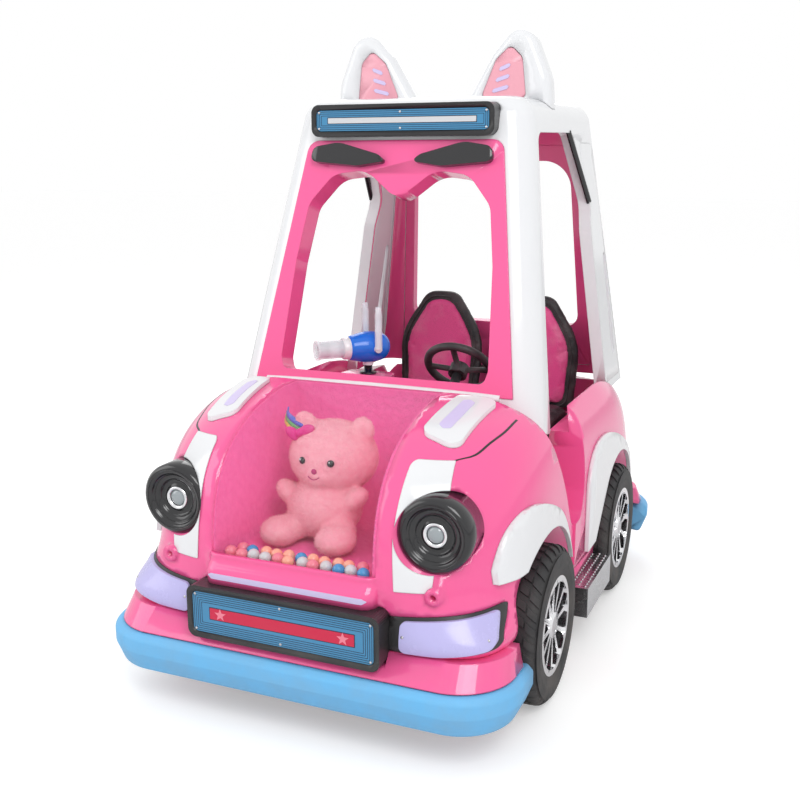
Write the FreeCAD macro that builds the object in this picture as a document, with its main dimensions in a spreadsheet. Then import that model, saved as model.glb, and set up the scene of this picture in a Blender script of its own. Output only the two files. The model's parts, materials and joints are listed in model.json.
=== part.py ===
"""Electric ride-on car of a fairground or shopping-centre floor.

A moulded two-seat body stands on a welded ladder frame with steered front wheels and a driven rear
axle.  The nose holds a lit showcase behind a clear cover, the cab is an open shell with large windows.
Millimetres, +Z up, origin on the ground under the middle of the car, nose towards -Y, driver's side
towards +X.  Every size stands once in the spreadsheet "Sizes", and every piece reads it from there.
"""
import FreeCAD, Part
import math
import os
import re

SIZES = {
    "overall": {
        "half_length": 825, "fit": 0.3, "play": 6,
    },
    "wheels": {
        "front_axle_y": -370, "rear_axle_y": 396, "axle_z": 200, "tyre_radius": 200, "tyre_width": 92,
        "wheel_tuck": 7, "wheel_outer_x": "=base_half_rear - wheel_tuck", "bead_radius": 118,
        "bead_wall": 9, "rim_wall": 8, "rim_flange": 7, "flange_thick": 3, "rim_inset": 4,
        "hub_radius": 32, "hub_depth": 50, "hub_cap": 8, "spoke_count": 12, "spoke_width": 13,
        "spoke_depth": 14, "spoke_inset": 12, "spindle_radius": 8, "spindle_play": 0.06,
    },
    "steering": {
        "kingpin_gap": 12, "kingpin_x": "=wheel_outer_x - tyre_width - kingpin_gap", "kingpin_radius": 7,
        "boss_radius": 14, "boss_half": 34, "yoke_plate": 10, "yoke_half": 20, "arm_length": 92,
        "arm_width": 18, "arm_thick": 9, "tie_radius": 6.5, "tie_drop": 12, "ball_radius": 6,
        "wheel_ring": 90, "wheel_grip": 11, "wheel_rise": 36, "steering_x": 165, "steering_y": -85,
        "steering_z": "=hood_under + wheel_rise", "column_radius": 13, "column_length": 150,
        "column_lean": 49.5,
    },
    "frame": {
        "rail_x": 265, "rail_width": 40, "rail_low": 110, "rail_high": 160, "stay_length": 30,
        "rail_end": "=half_length - bumper_depth - stay_length", "cross_width": 40, "body_seat": 203,
        "beam_width": 56, "beam_high": 230, "tie_hole_radius": 5.5, "tie_hole_y": 450,
        "axle_tube": 24, "motor_radius": 48, "motor_half": 110, "stay_width": 40,
        "outrigger_set": 12,
    },
    "bumpers": {
        "bumper_low": 100, "bumper_high": 200, "bumper_depth": 60, "bumper_lip": 14,
        "bumper_corner": 150, "bumper_proud": 20, "front_bumper_half": "=base_half_front + bumper_proud",
        "rear_bumper_half": "=base_half_rear + bumper_proud", "front_leg_gap": 22,
        "front_bumper_end": "=front_axle_y - tyre_radius - front_leg_gap", "rear_leg_gap": 66,
        "rear_bumper_end": "=rear_axle_y + tyre_radius + rear_leg_gap",
    },
    "base": {
        "base_half_rear": 541, "base_taper": 24, "base_half_front": "=base_half_rear - base_taper",
        "bumper_lead": 19, "base_end": "=half_length - bumper_lead", "base_corner": 140,
        "base_top": 255, "shelf_slope": 42, "side_slope": 12, "well_inner_front": 340,
        "well_clear": 10, "well_inner_rear": "=wheel_outer_x - tyre_width - well_clear", "well_gap": 45,
        "well_radius": "=tyre_radius + well_gap", "arch_lead": 42,
        "arch_front": "=front_axle_y - tyre_radius - arch_lead",
    },
    "nose": {
        "nose_tuck": 17, "nose_half": "=base_half_front - nose_tuck", "nose_mid_y": -200, "nose_set": 65,
        "nose_reach": "=half_length - nose_set + nose_mid_y", "nose_mid_z": 400, "nose_rise": 365,
        "nose_split": -100, "foot_half": 325, "knee_wall": 30, "foot_front": "=bay_rear + knee_wall",
        "foot_step": 465, "shoulder_half": 410, "bay_half": 205, "bay_floor": 402, "bay_rear": -330,
        "bay_wall": 8, "cover_thick": 4, "lip_half": 222, "lip_round": 34, "lip_reach": 30,
        "nub_inset": 154, "nub_x": "=nose_half - nub_inset", "nub_z": 390, "nub_radius": 20,
        "nub_reach": 12, "nub_bore": 8, "nub_bore_depth": 30,
    },
    "trim": {
        "skin_gap": 0.5, "flare_thick": 12, "pod_thick": 10, "band_sink": 9, "band_proud": 1.5,
        "lamp_bar_thick": 7, "patch_thick": 2.5,
    },
    "lamps": {
        "lamp_inset": 161, "lamp_x": "=nose_half - lamp_inset", "lamp_z": 525, "lamp_radius": 88,
        "lamp_set": 101, "lamp_front": "=lamp_set - half_length", "lamp_depth": 92, "lamp_dish": 22,
        "lens_radius": 18, "lens_ring": 30, "tail_inset": 111, "tail_x": "=tail_half - tail_inset",
        "tail_z": 440, "tail_radius": 48, "tail_depth": 20,
    },
    "signs": {
        "plate_half": 250, "plate_low": 226, "plate_high": 356, "plate_set": 10,
        "plate_front": "=plate_set - half_length", "plate_depth": 60, "sign_half": 262, "sign_gap": 10,
        "sign_low": "=screen_top + sign_gap", "sign_drop": 18, "sign_high": "=cab_high - sign_drop",
        "sign_set": 57, "sign_front": "=cab_high_front - sign_set", "sign_depth": 90, "sign_round": 22,
        "panel_sink": 5, "panel_edge": 13,
    },
    "tail": {
        "tail_tuck": 35, "tail_half": "=base_half_rear - tail_tuck", "tail_mid_y": 240, "tail_set": 55,
        "tail_reach": "=half_length - tail_set - tail_mid_y", "tail_mid_z": 360, "tail_rise": 375,
        "seat_well_half": 400, "back_wall": 52, "seat_well_rear": "=cab_low_rear - back_wall",
        "sill_top": 372, "door_rear": -14, "door_top": 560,
    },
    "cab": {
        "cab_low": 600, "cab_high": 1490, "cab_tuck": 51, "cab_low_half": "=tail_half - cab_tuck",
        "cab_high_half": 330, "cab_low_front": -297, "cab_high_front": -55, "cab_rear_set": 73,
        "cab_low_rear": "=half_length - cab_rear_set", "cab_rear_lean": 97,
        "cab_high_rear": "=cab_low_rear - cab_rear_lean", "cab_corner": 78, "cab_wall": 38,
        "roof_thick": 34, "roof_round": 68, "screen_top_half": 280, "screen_low_half": 372,
        "screen_low": 738, "screen_top": 1378, "screen_thick": 64, "screen_proud": 3,
        "rear_panel_half": 318, "rear_panel_low": 650, "rear_panel_top": 1372, "rear_panel_thick": 34,
        "rear_window_half": 281, "rear_window_low": 780, "rear_window_top": 1322, "brow_thick": 20,
        "handle_thick": 34,
    },
    "ears": {
        "ear_y": 212, "ear_thick": 76, "ear_round": 27, "ear_sink": 9, "ear_panel": 5,
    },
    "inside": {
        "floor_top": 272, "seat_front": 226, "seat_box_half": 362, "seat_rear": "=back_y + back_thick",
        "seat_top": 492, "seat_wall": 8, "cushion_thick": 48, "cushion_half": 158, "seat_x": 169,
        "back_lean": 6, "back_set": 152, "back_y": "=cab_low_rear - back_set", "back_thick": 40,
        "back_half": 163, "back_mid": 700, "back_top": 892, "back_top_half": 57, "dash_gap": 8,
        "dash_rear": -165, "hood_under": 736, "dash_low": 560, "battery_half": 170,
        "battery_front": 262, "battery_rear": 520, "battery_high": 450, "pedal_x": 90,
        "pedal_width": 62, "pedal_height": 88, "pedal_thick": 10, "pedal_set": 48, "pedal_lean": 38,
    },
    "gun": {
        "gun_x": -110, "gun_y": -88, "gun_rise": 76, "gun_z": "=hood_under + gun_rise", "gun_turn": 226,
        "gun_body": 62, "gun_fat": 40, "gun_neck": 12, "barrel_radius": 26, "barrel_wall": 4,
        "barrel_length": 92, "prong_radius": 11, "prong_high": 118, "prong_reach": 52,
        "pedestal_radius": 24, "pedestal_foot": 6, "swivel_radius": 12, "swivel_pin": 6,
    },
    "steps": {
        "step_tuck": 44, "step_inner": "=nose_half - step_tuck", "step_width": 89,
        "step_outer": "=step_inner + step_width", "step_front": -96, "step_rear": 186, "step_low": 106,
        "step_high": 190, "step_wall": 3,
    },
}

doc = FreeCAD.newDocument("RideOnCar")
sheet = doc.addObject("Spreadsheet::Sheet", "Sizes")
NAMES = {}
row = 1
for group, values in SIZES.items():
    sheet.set(f"A{row}", group)
    for alias in values:
        row += 1
        sheet.set(f"A{row}", alias)
        sheet.setAlias(f"B{row}", alias)
        NAMES[alias] = f"B{row}"
    row += 2
for values in SIZES.values():
    for alias, value in values.items():
        sheet.set(NAMES[alias], str(value))
doc.recompute()

NODES = []


def size(alias):
    """The sheet's value of one size, in millimetres, degrees or a count."""
    return float(sheet.get(NAMES[alias]))


def formula(text):
    """A formula in the sheet's own names, written out for setExpression."""
    return re.sub(r"[a-z]\w*", lambda word: "Sizes." + word[0] if word[0] in NAMES else word[0], str(text))


def vec(x, y, z):
    return FreeCAD.Vector(x, y, z)


# ---------------------------------------------------------------- pieces bound to the sheet


def block(name, x, y, z):
    """A box between a low and a high plane on each axis, each plane a formula."""
    box = doc.addObject("Part::Box", name)
    for side, axis, (low, high) in zip(("Length", "Width", "Height"), "xyz", (x, y, z)):
        box.setExpression(side, formula(f"({high}) - ({low})"))
        box.setExpression(f"Placement.Base.{axis}", formula(low))
    return box


TURNS = {"x": FreeCAD.Rotation(vec(0, 1, 0), 90), "y": FreeCAD.Rotation(vec(1, 0, 0), -90),
         "z": FreeCAD.Rotation()}


def rod(name, radius, along, low, high, centre):
    """A round bar along one axis, between two formulas, about a centre given on the other two."""
    bar = doc.addObject("Part::Cylinder", name)
    bar.Placement.Rotation = TURNS[along]
    bar.setExpression("Radius", formula(radius))
    bar.setExpression("Height", formula(f"({high}) - ({low})"))
    places = dict(zip([axis for axis in "xyz" if axis != along], centre))
    places[along] = low
    for axis, place in places.items():
        bar.setExpression(f"Placement.Base.{axis}", formula(place))
    return bar


def fused(label, pieces):
    joined = doc.addObject("Part::MultiFuse", label)
    joined.Shapes = pieces
    return joined


def cut(label, base, tools):
    carved = doc.addObject("Part::Cut", label)
    carved.Base = base
    carved.Tool = tools[0] if len(tools) == 1 else fused(label + "_tools", tools)
    return carved


def node(piece, label):
    """Gives a finished piece its node's name and puts it on the list that is written out."""
    piece.Label = label
    NODES.append(piece)
    return piece


def shaped(label, shape):
    """A node whose form no primitive has, from Part's own functions."""
    feature = doc.addObject("Part::Feature", label)
    feature.Shape = shape
    feature.Placement = FreeCAD.Placement()
    return node(feature, label)


# ---------------------------------------------------------------- outlines and curved forms


def rounded(corners, place):
    """A closed wire through (u, v, radius) corners, mapped into space by place(u, v)."""
    count = len(corners)
    edges = []
    ends = []
    reaches = []
    for index, (u, v, radius) in enumerate(corners):
        before = corners[index - 1]
        after = corners[(index + 1) % count]
        here = FreeCAD.Vector(u, v, 0)
        back = (FreeCAD.Vector(before[0], before[1], 0) - here)
        on = (FreeCAD.Vector(after[0], after[1], 0) - here)
        half = back.getAngle(on) / 2
        reach = radius / math.tan(half)
        reaches.append((reach if radius > 0 else 0, on.Length))
        back.normalize()
        on.normalize()
        start = here + back * reach
        end = here + on * reach
        if radius > 0:
            centre = here + (back + on).normalize() * (radius / math.sin(half))
            middle = centre + (here - centre).normalize() * radius
            points = [place(point.x, point.y) for point in (start, middle, end)]
            edges.append(Part.Arc(*points).toShape())
        ends.append((place(start.x, start.y), place(end.x, end.y), len(edges)))
    for index, (reach, side) in enumerate(reaches):
        if reach + reaches[(index + 1) % count][0] > side + 1e-6:
            raise ValueError(f"corners {index} and {index + 1} are too round for their side: {corners}")
    lines = []
    for index, (_, end, _) in enumerate(ends):
        following = ends[(index + 1) % count][0]
        if end.distanceToPoint(following) > 1e-6:
            lines.append(Part.LineSegment(end, following).toShape())
    return Part.Wire(Part.__sortEdges__(edges + lines))


def on_plan(z):
    return lambda u, v: vec(u, v, z)


def on_side(x):
    return lambda u, v: vec(x, u, v)


def on_front(y):
    return lambda u, v: vec(u, y, v)


def prism(corners, place, reach):
    """A straight solid on a rounded outline, reaching along the vector given."""
    return Part.Face(rounded(corners, place)).extrude(reach)


def box(low, high):
    sides = [b - a for a, b in zip(low, high)]
    return Part.makeBox(*sides, vec(*low))


def bar(start, end, radius):
    along = end - start
    return Part.makeCylinder(radius, along.Length, start, along)


def mirrored(shape):
    return shape.mirror(vec(0, 0, 0), vec(1, 0, 0))


def both(shape):
    """A piece and its twin on the other side, two solids that don't touch."""
    return Part.makeCompound([shape, mirrored(shape)])


def one_of(shape):
    """The solids of a boolean's result, cleaned of split faces."""
    solids = []
    for solid in shape.Solids:
        merged = solid.removeSplitter()
        solids.append(merged if merged.isValid() else solid)
    return solids[0] if len(solids) == 1 else Part.makeCompound(solids)


def swept_half(width, reach, power, mid_y, end_y, z, way):
    """One level of a body form: a full curve round the end, straight back to end_y."""
    steps = 8
    points = []
    for step in range(-steps, steps + 1):
        turn = -math.pi / 2 * step / steps
        u = math.sin(turn)
        v = math.cos(turn)
        far = (abs(u) ** power + abs(v) ** power) ** (-1 / power)
        points.append(vec(width * u * far, mid_y + way * reach * v * far, z))
    points[0].y = mid_y
    points[-1].y = mid_y
    curve = Part.BSplineCurve()
    curve.interpolate(Points=points, Parameters=[step / len(points) for step in range(len(points))],
                      InitialTangent=vec(0, way, 0), FinalTangent=vec(0, -way, 0))
    corners = [points[-1], vec(-width, end_y, z), vec(width, end_y, z), points[0]]
    sides = [Part.LineSegment(a, b).toShape() for a, b in zip(corners, corners[1:])]
    return Part.Wire([curve.toShape()] + sides)


def body_form(grow, half, mid_y, reach, mid_z, rise, low, end_y, way, fall, powers):
    """A moulded nose or tail: level by level up to its flat crown, every level grown alike."""
    levels = [low, (low + mid_z) / 2, mid_z]
    levels += [mid_z + (rise + grow) * share for share in (0.2, 0.36, 0.52, 0.66, 0.78, 0.87, 0.935, 0.975)]
    wires = []
    for z in levels:
        lift = max(0, z - mid_z) / (rise + grow)
        narrow = (1 - lift ** 4.5) ** (1 / 4.5)
        shorten = (1 - lift ** fall) ** (1 / fall)
        power = max(2.4, powers[0] + powers[1] * max(0, mid_z - z) / (mid_z - low) - powers[2] * lift)
        wires.append(swept_half((half + grow) * narrow, (reach + grow) * shorten, power, mid_y, end_y, z,
                                way))
    return Part.makeLoft(wires, True, False)


def nose_form(grow):
    return body_form(grow, size("nose_half"), size("nose_mid_y"), size("nose_reach"), size("nose_mid_z"),
                     size("nose_rise"), size("base_top"), size("nose_split"), -1, 3, (4, 3, 1.6))


def tail_form(grow):
    return body_form(grow, size("tail_half"), size("tail_mid_y"), size("tail_reach"), size("tail_mid_z"),
                     size("tail_rise"), size("base_top"), size("nose_split") + size("fit"), 1, 6, (6.6, 1, 5))


def skin(form, outline, inner, outer):
    """A thin piece that lies on a body form: between two growths, inside an outline's prism."""
    return one_of(form(outer).common(outline).cut(form(inner)))


# ---------------------------------------------------------------- running gear


def wheel(label, axle, side):
    """A tyre on a spoked rim; side is +1 on the driver's side and -1 on the other."""
    outer = size("wheel_outer_x")
    axis_y = size(axle)
    width = size("tyre_width")
    top = size("tyre_radius")
    bead = size("bead_radius") + size("fit")
    wall = bead + size("bead_wall")
    seat = size("rim_inset") + size("flange_thick") + size("fit")
    flank = [(bead, seat), (wall, seat), (top - 50, 0.5), (top - 28, 0), (top - 12, 5), (top - 3, 17),
             (top, 32)]
    section = flank + [(radius, width - depth) for radius, depth in reversed(flank)]
    points = [vec(side * (outer - depth), axis_y, size("axle_z") + radius) for radius, depth in section]
    face = Part.Face(Part.makePolygon(points + points[:1]))
    shaped(f"tyre_{label}", face.revolve(vec(0, axis_y, size("axle_z")), vec(1, 0, 0), 360))

    middle = (axle, "axle_z")

    def ring(name, radius, near, far):
        """A disc between two depths behind the wheel's outer face."""
        spans = [f"wheel_outer_x - ({far})", f"wheel_outer_x - ({near})"]
        if side < 0:
            spans = [f"-({span})" for span in spans[::-1]]
        return rod(f"{name}_{label}", radius, "x", spans[0], spans[1], middle)

    last = "tyre_width - rim_inset"
    barrel = [ring("barrel", "bead_radius", "rim_inset", last),
              ring("flange_out", "bead_radius + rim_flange", "rim_inset", "rim_inset + flange_thick"),
              ring("flange_in", "bead_radius + rim_flange", "tyre_width - rim_inset - flange_thick", last)]
    hollow = ring("hollow", "bead_radius - rim_wall", "-1", "tyre_width + 1")
    drum = cut(f"drum_{label}", fused(f"barrel_set_{label}", barrel), [hollow])
    hub = ring("hub", "hub_radius", "spoke_inset - 4", "spoke_inset - 4 + hub_depth")
    spokes = []
    for index in range(int(size("spoke_count"))):
        spoke = doc.addObject("Part::Box", f"spoke_{label}_{index}")
        spoke.setExpression("Length", formula("spoke_depth"))
        spoke.setExpression("Width", formula("spoke_width"))
        spoke.setExpression("Height", formula("bead_radius - rim_wall / 2 - hub_radius / 2"))
        near = "wheel_outer_x - spoke_inset - spoke_depth" if side > 0 else "spoke_inset - wheel_outer_x"
        turn = FreeCAD.Rotation(vec(1, 0, 0), 360 * index / size("spoke_count"))
        foot = turn.multVec(vec(0, -size("spoke_width") / 2, size("hub_radius") / 2))
        spoke.Placement.Rotation = turn
        spoke.setExpression("Placement.Base.x", formula(near))
        spoke.setExpression("Placement.Base.y", formula(f"{axle} + ({foot.y})"))
        spoke.setExpression("Placement.Base.z", formula(f"axle_z + ({foot.z})"))
        spokes.append(spoke)
    bore = ring("bore", "spindle_radius + spindle_play", "spoke_inset + hub_cap", "tyre_width")
    node(cut(f"rim_{label}", fused(f"rim_set_{label}", [drum, hub] + spokes), [bore]), f"rim_{label}")


def spindle_tip():
    """How far out an axle's stub reaches, just short of the bottom of the hub's bore."""
    return size("wheel_outer_x") - size("spoke_inset") - size("hub_cap") - 2


def arm_low():
    """The level of the steering arms' undersides, just above the foot of the kingpin bosses."""
    return size("axle_z") - size("boss_half") + 2


def knuckle(label, side):
    """A kingpin boss with its stub axle and a steering arm straight back from it."""
    x = side * size("kingpin_x")
    y = size("front_axle_y")
    z = size("axle_z")
    boss = bar(vec(x, y, z - size("boss_half")), vec(x, y, z + size("boss_half")), size("boss_radius"))
    stub = bar(vec(x, y, z), vec(side * spindle_tip(), y, z), size("spindle_radius"))
    half = size("arm_width") / 2
    reach = size("arm_length")
    end = y + reach + half
    arm = prism([(x - half, y, 3), (x + half, y, 3), (x + half, end, 6), (x - half, end, 6)],
                on_plan(arm_low()), vec(0, 0, size("arm_thick")))
    play = size("spindle_play")
    kingpin = bar(vec(x, y, 0), vec(x, y, 2 * z), size("kingpin_radius") + play)
    ball = bar(vec(x, y + reach, 0), vec(x, y + reach, 2 * z), size("ball_radius") + play)
    shaped(f"knuckle_{label}", one_of(boss.fuse([stub, arm]).cut(kingpin).cut(ball)))


def tie_rod():
    """The bar that keeps both steering arms parallel, with a pin down into each arm."""
    reach_x = size("kingpin_x")
    y = size("front_axle_y") + size("arm_length")
    low = arm_low()
    high = low + size("arm_thick")
    z = high + size("tie_drop")
    rods = [bar(vec(-reach_x, y, z), vec(reach_x, y, z), size("tie_radius"))]
    for x in (-reach_x, reach_x):
        rods.append(bar(vec(x, y, z), vec(x, y, low - 3), size("ball_radius")))
        rods.append(bar(vec(x, y, z), vec(x, y, high + 0.5), size("tie_radius") + 3))
    shaped("tie_rod", one_of(rods[0].fuse(rods[1:])))


def front_axle():
    """A box beam across the frame with a yoke and a kingpin at each end."""
    y = size("front_axle_y")
    z = size("axle_z")
    half = size("beam_width") / 2
    reach = size("kingpin_x")
    low = size("rail_high")
    grow = size("yoke_half")
    shape = box((-reach + grow + 28, y - half, low), (reach - grow - 28, y + half, size("beam_high")))
    gap = size("boss_half") + 1
    plate = size("yoke_plate")
    for side in (-1, 1):
        for face in (z + gap, z - gap - plate):
            inner = side * (reach - grow - 60)
            outer = side * (reach + grow)
            low_x, high_x = sorted((inner, outer))
            shape = shape.fuse(box((low_x, y - grow, face), (high_x, y + grow, face + plate)))
        post = sorted((side * (reach - grow - 60), side * (reach - grow - 22)))
        shape = shape.fuse(box((post[0], y - grow, z - gap - plate), (post[1], y + grow, z + gap + plate)))
        pin_low = z - gap - plate - 4
        shape = shape.fuse(bar(vec(side * reach, y, pin_low), vec(side * reach, y, 2 * z - pin_low),
                               size("kingpin_radius")))
    shaped("front_axle", one_of(shape))


def rear_axle():
    """The driven axle: motor and gear case in the middle of a tube, a shaft out to each hub."""
    y = size("rear_axle_y")
    z = size("axle_z")
    tip = spindle_tip()
    tube_end = size("wheel_outer_x") - size("tyre_width") - 8
    tube = bar(vec(-tube_end, y, z), vec(tube_end, y, z), size("axle_tube"))
    shaft = bar(vec(-tip, y, z), vec(tip, y, z), size("spindle_radius"))
    case = bar(vec(-size("motor_half"), y, z), vec(size("motor_half") / 3, y, z), size("motor_radius"))
    motor = bar(vec(-20, y - 150, z), vec(-20, y, z), size("motor_radius") - 2)
    pads = []
    for side in (-1, 1):
        low_x, high_x = sorted((side * (size("rail_x") - 18), side * (size("rail_x") + 18)))
        pads.append(box((low_x, y - 30, size("rail_high")), (high_x, y + 30, z)))
    shaped("rear_axle", one_of(tube.fuse([shaft, case, motor] + pads)))


def running_gear():
    for label, axle, side in (("front_left", "front_axle_y", 1), ("front_right", "front_axle_y", -1),
                              ("rear_left", "rear_axle_y", 1), ("rear_right", "rear_axle_y", -1)):
        wheel(label, axle, side)
    knuckle("left", 1)
    knuckle("right", -1)
    tie_rod()
    front_axle()
    rear_axle()


# ---------------------------------------------------------------- frame, bumpers and floor


def chassis():
    """Two rails with cross tubes, outriggers to the steps and stays to both bumpers."""

    def on_side_of(side, near, far):
        """A span on x between two distances from the middle, on one side."""
        return (near, far) if side > 0 else (f"-({far})", f"-({near})")

    pieces = []
    for name, side in (("left", 1), ("right", -1)):
        rail = on_side_of(side, "rail_x - rail_width / 2", "rail_x + rail_width / 2")
        pieces.append(block(f"rail_{name}", rail, ("-rail_end", "rail_end"), ("rail_low", "rail_high")))
        reach = on_side_of(side, "rail_x", "step_inner + 30")
        for place, where in (("fore", "step_front + outrigger_set"),
                             ("aft", "step_rear - outrigger_set - cross_width")):
            pieces.append(block(f"outrigger_{name}_{place}", reach, (where, f"{where} + cross_width"),
                                ("rail_low + 8", "rail_high - 8")))
        for place, where in (("nose", "40 - rail_end"), ("knee", "foot_front + 110"),
                             ("seat", "seat_front - 20"), ("tail", "rail_end - 80")):
            pieces.append(block(f"pad_{place}_{name}", rail, (where, f"{where} + cross_width"),
                                ("rail_high", "body_seat")))
            if side > 0:
                pieces.append(block(f"cross_{place}", ("-rail_x", "rail_x"), (where, f"{where} + cross_width"),
                                    ("rail_low", "rail_high")))
        stay = on_side_of(side, "rail_x - stay_width / 2", "rail_x + stay_width / 2")
        for place, near, far in (("front", "-half_length + bumper_depth + fit", "-rail_end"),
                                 ("rear", "rail_end", "half_length - bumper_depth - fit")):
            pieces.append(block(f"stay_{place}_{name}", stay, (near, far), ("rail_low", "rail_high")))
    holes = []
    for name, x, y in (("lf", "rail_x", "-tie_hole_y"), ("rf", "-rail_x", "-tie_hole_y"),
                       ("lr", "rail_x", "tie_hole_y"), ("rr", "-rail_x", "tie_hole_y")):
        holes.append(rod(f"tie_hole_{name}", "tie_hole_radius", "z", "rail_low - 1", "rail_high + 1", (x, y)))
    node(cut("chassis_frame", fused("frame_set", pieces), holes), "chassis_frame")


def bumper(label, way, half, leg_end):
    """A rubber buffer with a fall-away lower face, bent round both corners."""
    edge = way * size("half_length")
    corner = size("bumper_corner")
    low = size("bumper_low")
    high = size("bumper_high")
    depth = size("bumper_depth")
    lip = size("bumper_lip")
    middle = low + (high - low) * 0.52
    start = vec(half, leg_end, 0)
    bend = corner * (1 - math.sqrt(0.5))
    path = Part.Wire([
        Part.LineSegment(start, vec(half, edge - way * corner, 0)).toShape(),
        Part.Arc(vec(half, edge - way * corner, 0), vec(half - bend, edge - way * bend, 0),
                 vec(half - corner, edge, 0)).toShape(),
        Part.LineSegment(vec(half - corner, edge, 0), vec(corner - half, edge, 0)).toShape(),
        Part.Arc(vec(corner - half, edge, 0), vec(bend - half, edge - way * bend, 0),
                 vec(-half, edge - way * corner, 0)).toShape(),
        Part.LineSegment(vec(-half, edge - way * corner, 0), vec(-half, leg_end, 0)).toShape()])
    section = rounded([(half - depth, low + 4, 3), (half - depth, high, 3), (half - lip, high, 12),
                       (half, high - lip, 14), (half, middle, 10), (half - lip - 6, low, 14)],
                      lambda u, v: vec(u, leg_end, v))
    shaped(label, path.makePipeShell([section], True, False))


def plan_outline(inset_end, inset_side, z):
    """The base's outline, drawn in from its edge."""
    front = size("base_half_front") - inset_side
    rear = size("base_half_rear") - inset_side
    end = size("base_end") - inset_end
    corner = size("base_corner") - inset_side
    return rounded([(-front, -end, corner), (front, -end, corner), (rear, end, corner), (-rear, end, corner)],
                   on_plan(z))


def wheel_wells():
    """The four spaces that the body leaves round its wheels, as cutting solids."""
    reach = 700
    top = size("axle_z")
    radius = size("well_radius")
    spaces = []
    for axle, inner, front in (("front_axle_y", "well_inner_front", size("arch_front")),
                               ("rear_axle_y", "well_inner_rear", size("rear_axle_y") - radius)):
        y = size(axle)
        outline = [(front, -10, 0), (front, top + (radius if front < y - radius else 0) * 0.55, 60),
                   (y - radius * 0.55, top + radius, 60), (y, top + radius, 0)]
        space = bar(vec(size(inner), y, top), vec(reach, y, top), radius)
        space = space.fuse(box((size(inner), y - radius, -10), (reach, y + radius, top)))
        if front < y - radius:
            space = space.fuse(prism([(front, -10, 0), (front, top + 130, 50), (y - 150, top + 194, 40),
                                      (y, top + 194, 0), (y, -10, 0)], on_side(size(inner)),
                                     vec(reach - size(inner), 0, 0)))
        spaces += [space, mirrored(space)]
    return spaces


def body_base():
    """The shelf that carries both body halves: a sloped edge over the bumpers, open at the wheels."""
    low = plan_outline(0, 0, size("body_seat"))
    high = plan_outline(size("shelf_slope"), size("side_slope"), size("base_top"))
    shape = Part.makeLoft([low, high], True, True)
    for space in wheel_wells():
        shape = shape.cut(space)
    sill = size("nose_half")
    for side in (-1, 1):
        low_x, high_x = sorted((side * sill, side * 700))
        shape = shape.cut(box((low_x, size("arch_front") + 300, 0), (high_x, size("rear_axle_y"), 600)))
    floor = box((-size("foot_half"), size("foot_front"), size("base_top") - 8),
                (size("foot_half"), size("seat_front"), 400))
    shape = shape.cut(floor).cut(plate_space(size("fit")))
    shape = shape.cut(axle_space())
    shaped("body_base", one_of(shape))


def axle_space():
    """Room in the base for the driven axle's motor and for the front beam."""
    y = size("rear_axle_y")
    play = size("play")
    radius = size("motor_radius") + play
    side = size("motor_half") + 10
    motor = box((-side, y - 160, 0), (side, y + radius, size("base_top") + 1))
    tube = box((-size("tail_half"), y - 36, 0), (size("tail_half"), y + 36, size("axle_z") + 32))
    half = size("beam_width") / 2 + play
    front = size("front_axle_y")
    wide = size("nose_half")
    beam = box((-wide, front - half, 0), (wide, front + half, size("beam_high") + play))
    return motor.fuse([tube, beam])


def floor_and_battery():
    """The footwell's rubber-covered board, and the battery as one block under the seat."""
    node(block("floor_pan", ("-foot_half + fit", "foot_half - fit"),
               ("foot_front + fit", "seat_front - fit"), ("base_top - 8", "floor_top")), "floor_pan")
    node(block("battery_block", ("-battery_half", "battery_half"), ("battery_front", "battery_rear"),
               ("base_top + fit", "battery_high")), "battery_block")


# ---------------------------------------------------------------- nose


def plate_space(gap):
    return box((-size("plate_half") - gap, size("plate_front") - gap, size("plate_low") - gap),
               (size("plate_half") + gap, size("plate_front") + size("plate_depth") + gap,
                size("plate_high") + gap))


def lamp_space(gap):
    y = size("lamp_front")
    return bar(vec(size("lamp_x"), y - 200, size("lamp_z")),
               vec(size("lamp_x"), y + size("lamp_depth") + gap, size("lamp_z")), size("lamp_radius") + gap)


def door_edge(rear):
    """The front fender's trailing edge seen from the side, as the outline of what is cut off behind it."""
    front = size("cab_low_front")
    sill = size("sill_top")
    return [(front - 33, 900, 0), (front - 21, 730, 40), (front + 39, 590, 90), (front + 119, 470, 90),
            (size("nose_split") - 22, sill, 50), (rear, sill, 0), (rear, 900, 0)]


def bay_space(grow):
    """The showcase's hollow, open through the nose to the front and the top."""
    half = size("bay_half") + grow
    return box((-half, -2 * size("half_length"), size("bay_floor") - grow),
               (half, size("bay_rear") + grow, 2 * size("half_length")))


def lip_form():
    """The stepped lip across the foot of the showcase, level by level, each with its own reach."""
    side = size("lip_half")
    front = nose_end()
    corner = size("lip_round")
    reach = size("lip_reach")
    levels = [(size("plate_high") + size("fit"), reach), (size("bay_floor") - 18, reach),
              (size("bay_floor") - 10, reach - 5), (size("bay_floor") - 4, reach - 9),
              (size("bay_floor"), reach - 15), (size("bay_floor") + 14, reach - 19),
              (size("bay_floor") + 19, reach - 17), (size("bay_floor") + 22, reach - 21)]
    wires = []
    for z, out in levels:
        wires.append(rounded([(-side, size("nose_mid_y"), 0), (-side, front - out, corner),
                              (side, front - out, corner), (side, size("nose_mid_y"), 0)], on_plan(z)))
    return Part.makeLoft(wires, True, True)


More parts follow.
